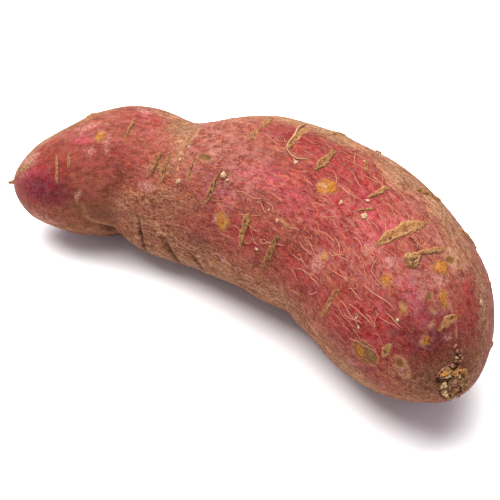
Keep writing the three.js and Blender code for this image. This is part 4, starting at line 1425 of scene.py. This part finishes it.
def cork_material():
    material, tree, shader = new_material("Dry cork")
    place = place_mm(tree)
    fine = noise_at(tree, place, 2.0, 4, 0.65)
    middling = noise_at(tree, place, 0.8, 3, 0.6)
    tone = kept(tree, "tone")
    colour = painted(
        tree, mix(tree, step(tree, middling, 0.36, 0.56), CORK_TAN, CORK_PALE),
        (tone, 0.6, OLIVE),
        # A tan core: the middle of a lenticel, and on chips and knobs their dips, as painted shade.
        (kept(tree, "core"), 0.65, CORK_TAN),
        (step(tree, fine, 0.5, 0.36), 0.7, RUSSET_DARK),
        # Paler rims and bumps: partly the cork's own colour, partly painted highlight.
        (kept(tree, "rim"), 0.5, CORK_PALE),
        (step(tree, tone, 0.1, 0.0), 0.6, CREAM),
    )
    finish_cork(tree, shader, colour, fine, middling)
    return material


def scar_material():
    material, tree, shader = new_material("Broken stem wood")
    place = place_mm(tree)
    fine = noise_at(tree, place, 2.2, 4, 0.65)
    middling = noise_at(tree, place, 0.9, 3, 0.6)
    colour = mottled(tree, kept(tree, "tint", vector=True), 1.0, fine, 0.3, 0.7, 0.55, 1.35)
    stain = step(tree, middling, 0.46, 0.62, 0.0, 0.8)
    # Stains, and paler bumps as painted highlight.
    colour = painted(tree, colour, (stain, 1, RUSSET), (kept(tree, "rim"), 0.12, CREAM))
    finish_cork(tree, shader, colour, fine, middling)
    return material


def fibre_material():
    material, tree, shader = new_material("Skin fibre")
    fine = noise_at(tree, place_mm(tree), 0.8, 3, 0.6)
    colour = mix(tree, step(tree, fine, 0.48, 0.72), FIBRE_DIM, FIBRE)
    colour = painted(tree, colour, (kept(tree, "tone"), 0.25, RUSSET_PALE))
    fill(tree, shader, {"Base Color": colour, "Roughness": 0.7})
    return material


def floor_material():
    material, tree, shader = new_material("White table")
    fill(tree, shader, {"Base Color": SNOW, "Roughness": 0.9})
    return material


def dress(piece, material):
    piece.data.materials.clear()
    piece.data.materials.append(material)


dress(make_skin(), skin_material())
cork = cork_material()
dress(make_lenticels(), cork)
dress(make_chips(), cork)
dress(make_rootlets(), cork)
dress(make_stem_scar(), scar_material())
dress(make_fibres(), fibre_material())

# The table, the light and the camera.
bpy.ops.object.select_all(action="DESELECT")
bpy.ops.mesh.primitive_plane_add(size=4)
floor = bpy.context.object
floor.name = "floor"
dress(floor, floor_material())

VIEW = {"azimuth": 36, "elevation": 40, "field": 26, "distance": 405, "target": (-12.3, 12.7, 0)}
TENT_LIGHT = {"size": 1.6, "energy": 58, "color": (1, 0.985, 0.96)}
TENT_PLACE = (-0.34, 0.1, 1.2)
TENT_TARGET = (0, 0, 0.02)
SKY = {"Color": (0.93, 0.92, 1.04, 1), "Strength": 0.54}


def aimed(name, data, place, target):
    """A new camera or light at a place, looking at a target."""
    piece = bpy.data.objects.new(name, data)
    bpy.context.scene.collection.objects.link(piece)
    piece.location = place
    piece.rotation_mode = "QUATERNION"
    piece.rotation_quaternion = (target - place).to_track_quat("-Z", "Y")
    return piece


def add_camera():
    azimuth = math.radians(VIEW["azimuth"])
    elevation = math.radians(VIEW["elevation"])
    look = Vector((
        -math.sin(azimuth) * math.cos(elevation),
        math.cos(azimuth) * math.cos(elevation),
        -math.sin(elevation),
    ))
    target = Vector(VIEW["target"]) * MM
    data = bpy.data.cameras.new("camera")
    data.sensor_width = 36
    data.lens = data.sensor_width / 2 / math.tan(math.radians(VIEW["field"] / 2))
    place = target - look * VIEW["distance"] * MM
    bpy.context.scene.camera = aimed("camera", data, place, target)


def add_light():
    data = bpy.data.lights.new("tent", "AREA")
    for name, value in TENT_LIGHT.items():
        setattr(data, name, value)
    aimed("tent", data, Vector(TENT_PLACE), Vector(TENT_TARGET))


add_camera()
add_light()

world = bpy.data.worlds.new("studio")
world.use_nodes = True
fill(world.node_tree, world.node_tree.nodes["Background"], SKY)
scene = bpy.context.scene
scene.world = world
scene.view_settings.view_transform = "Standard"
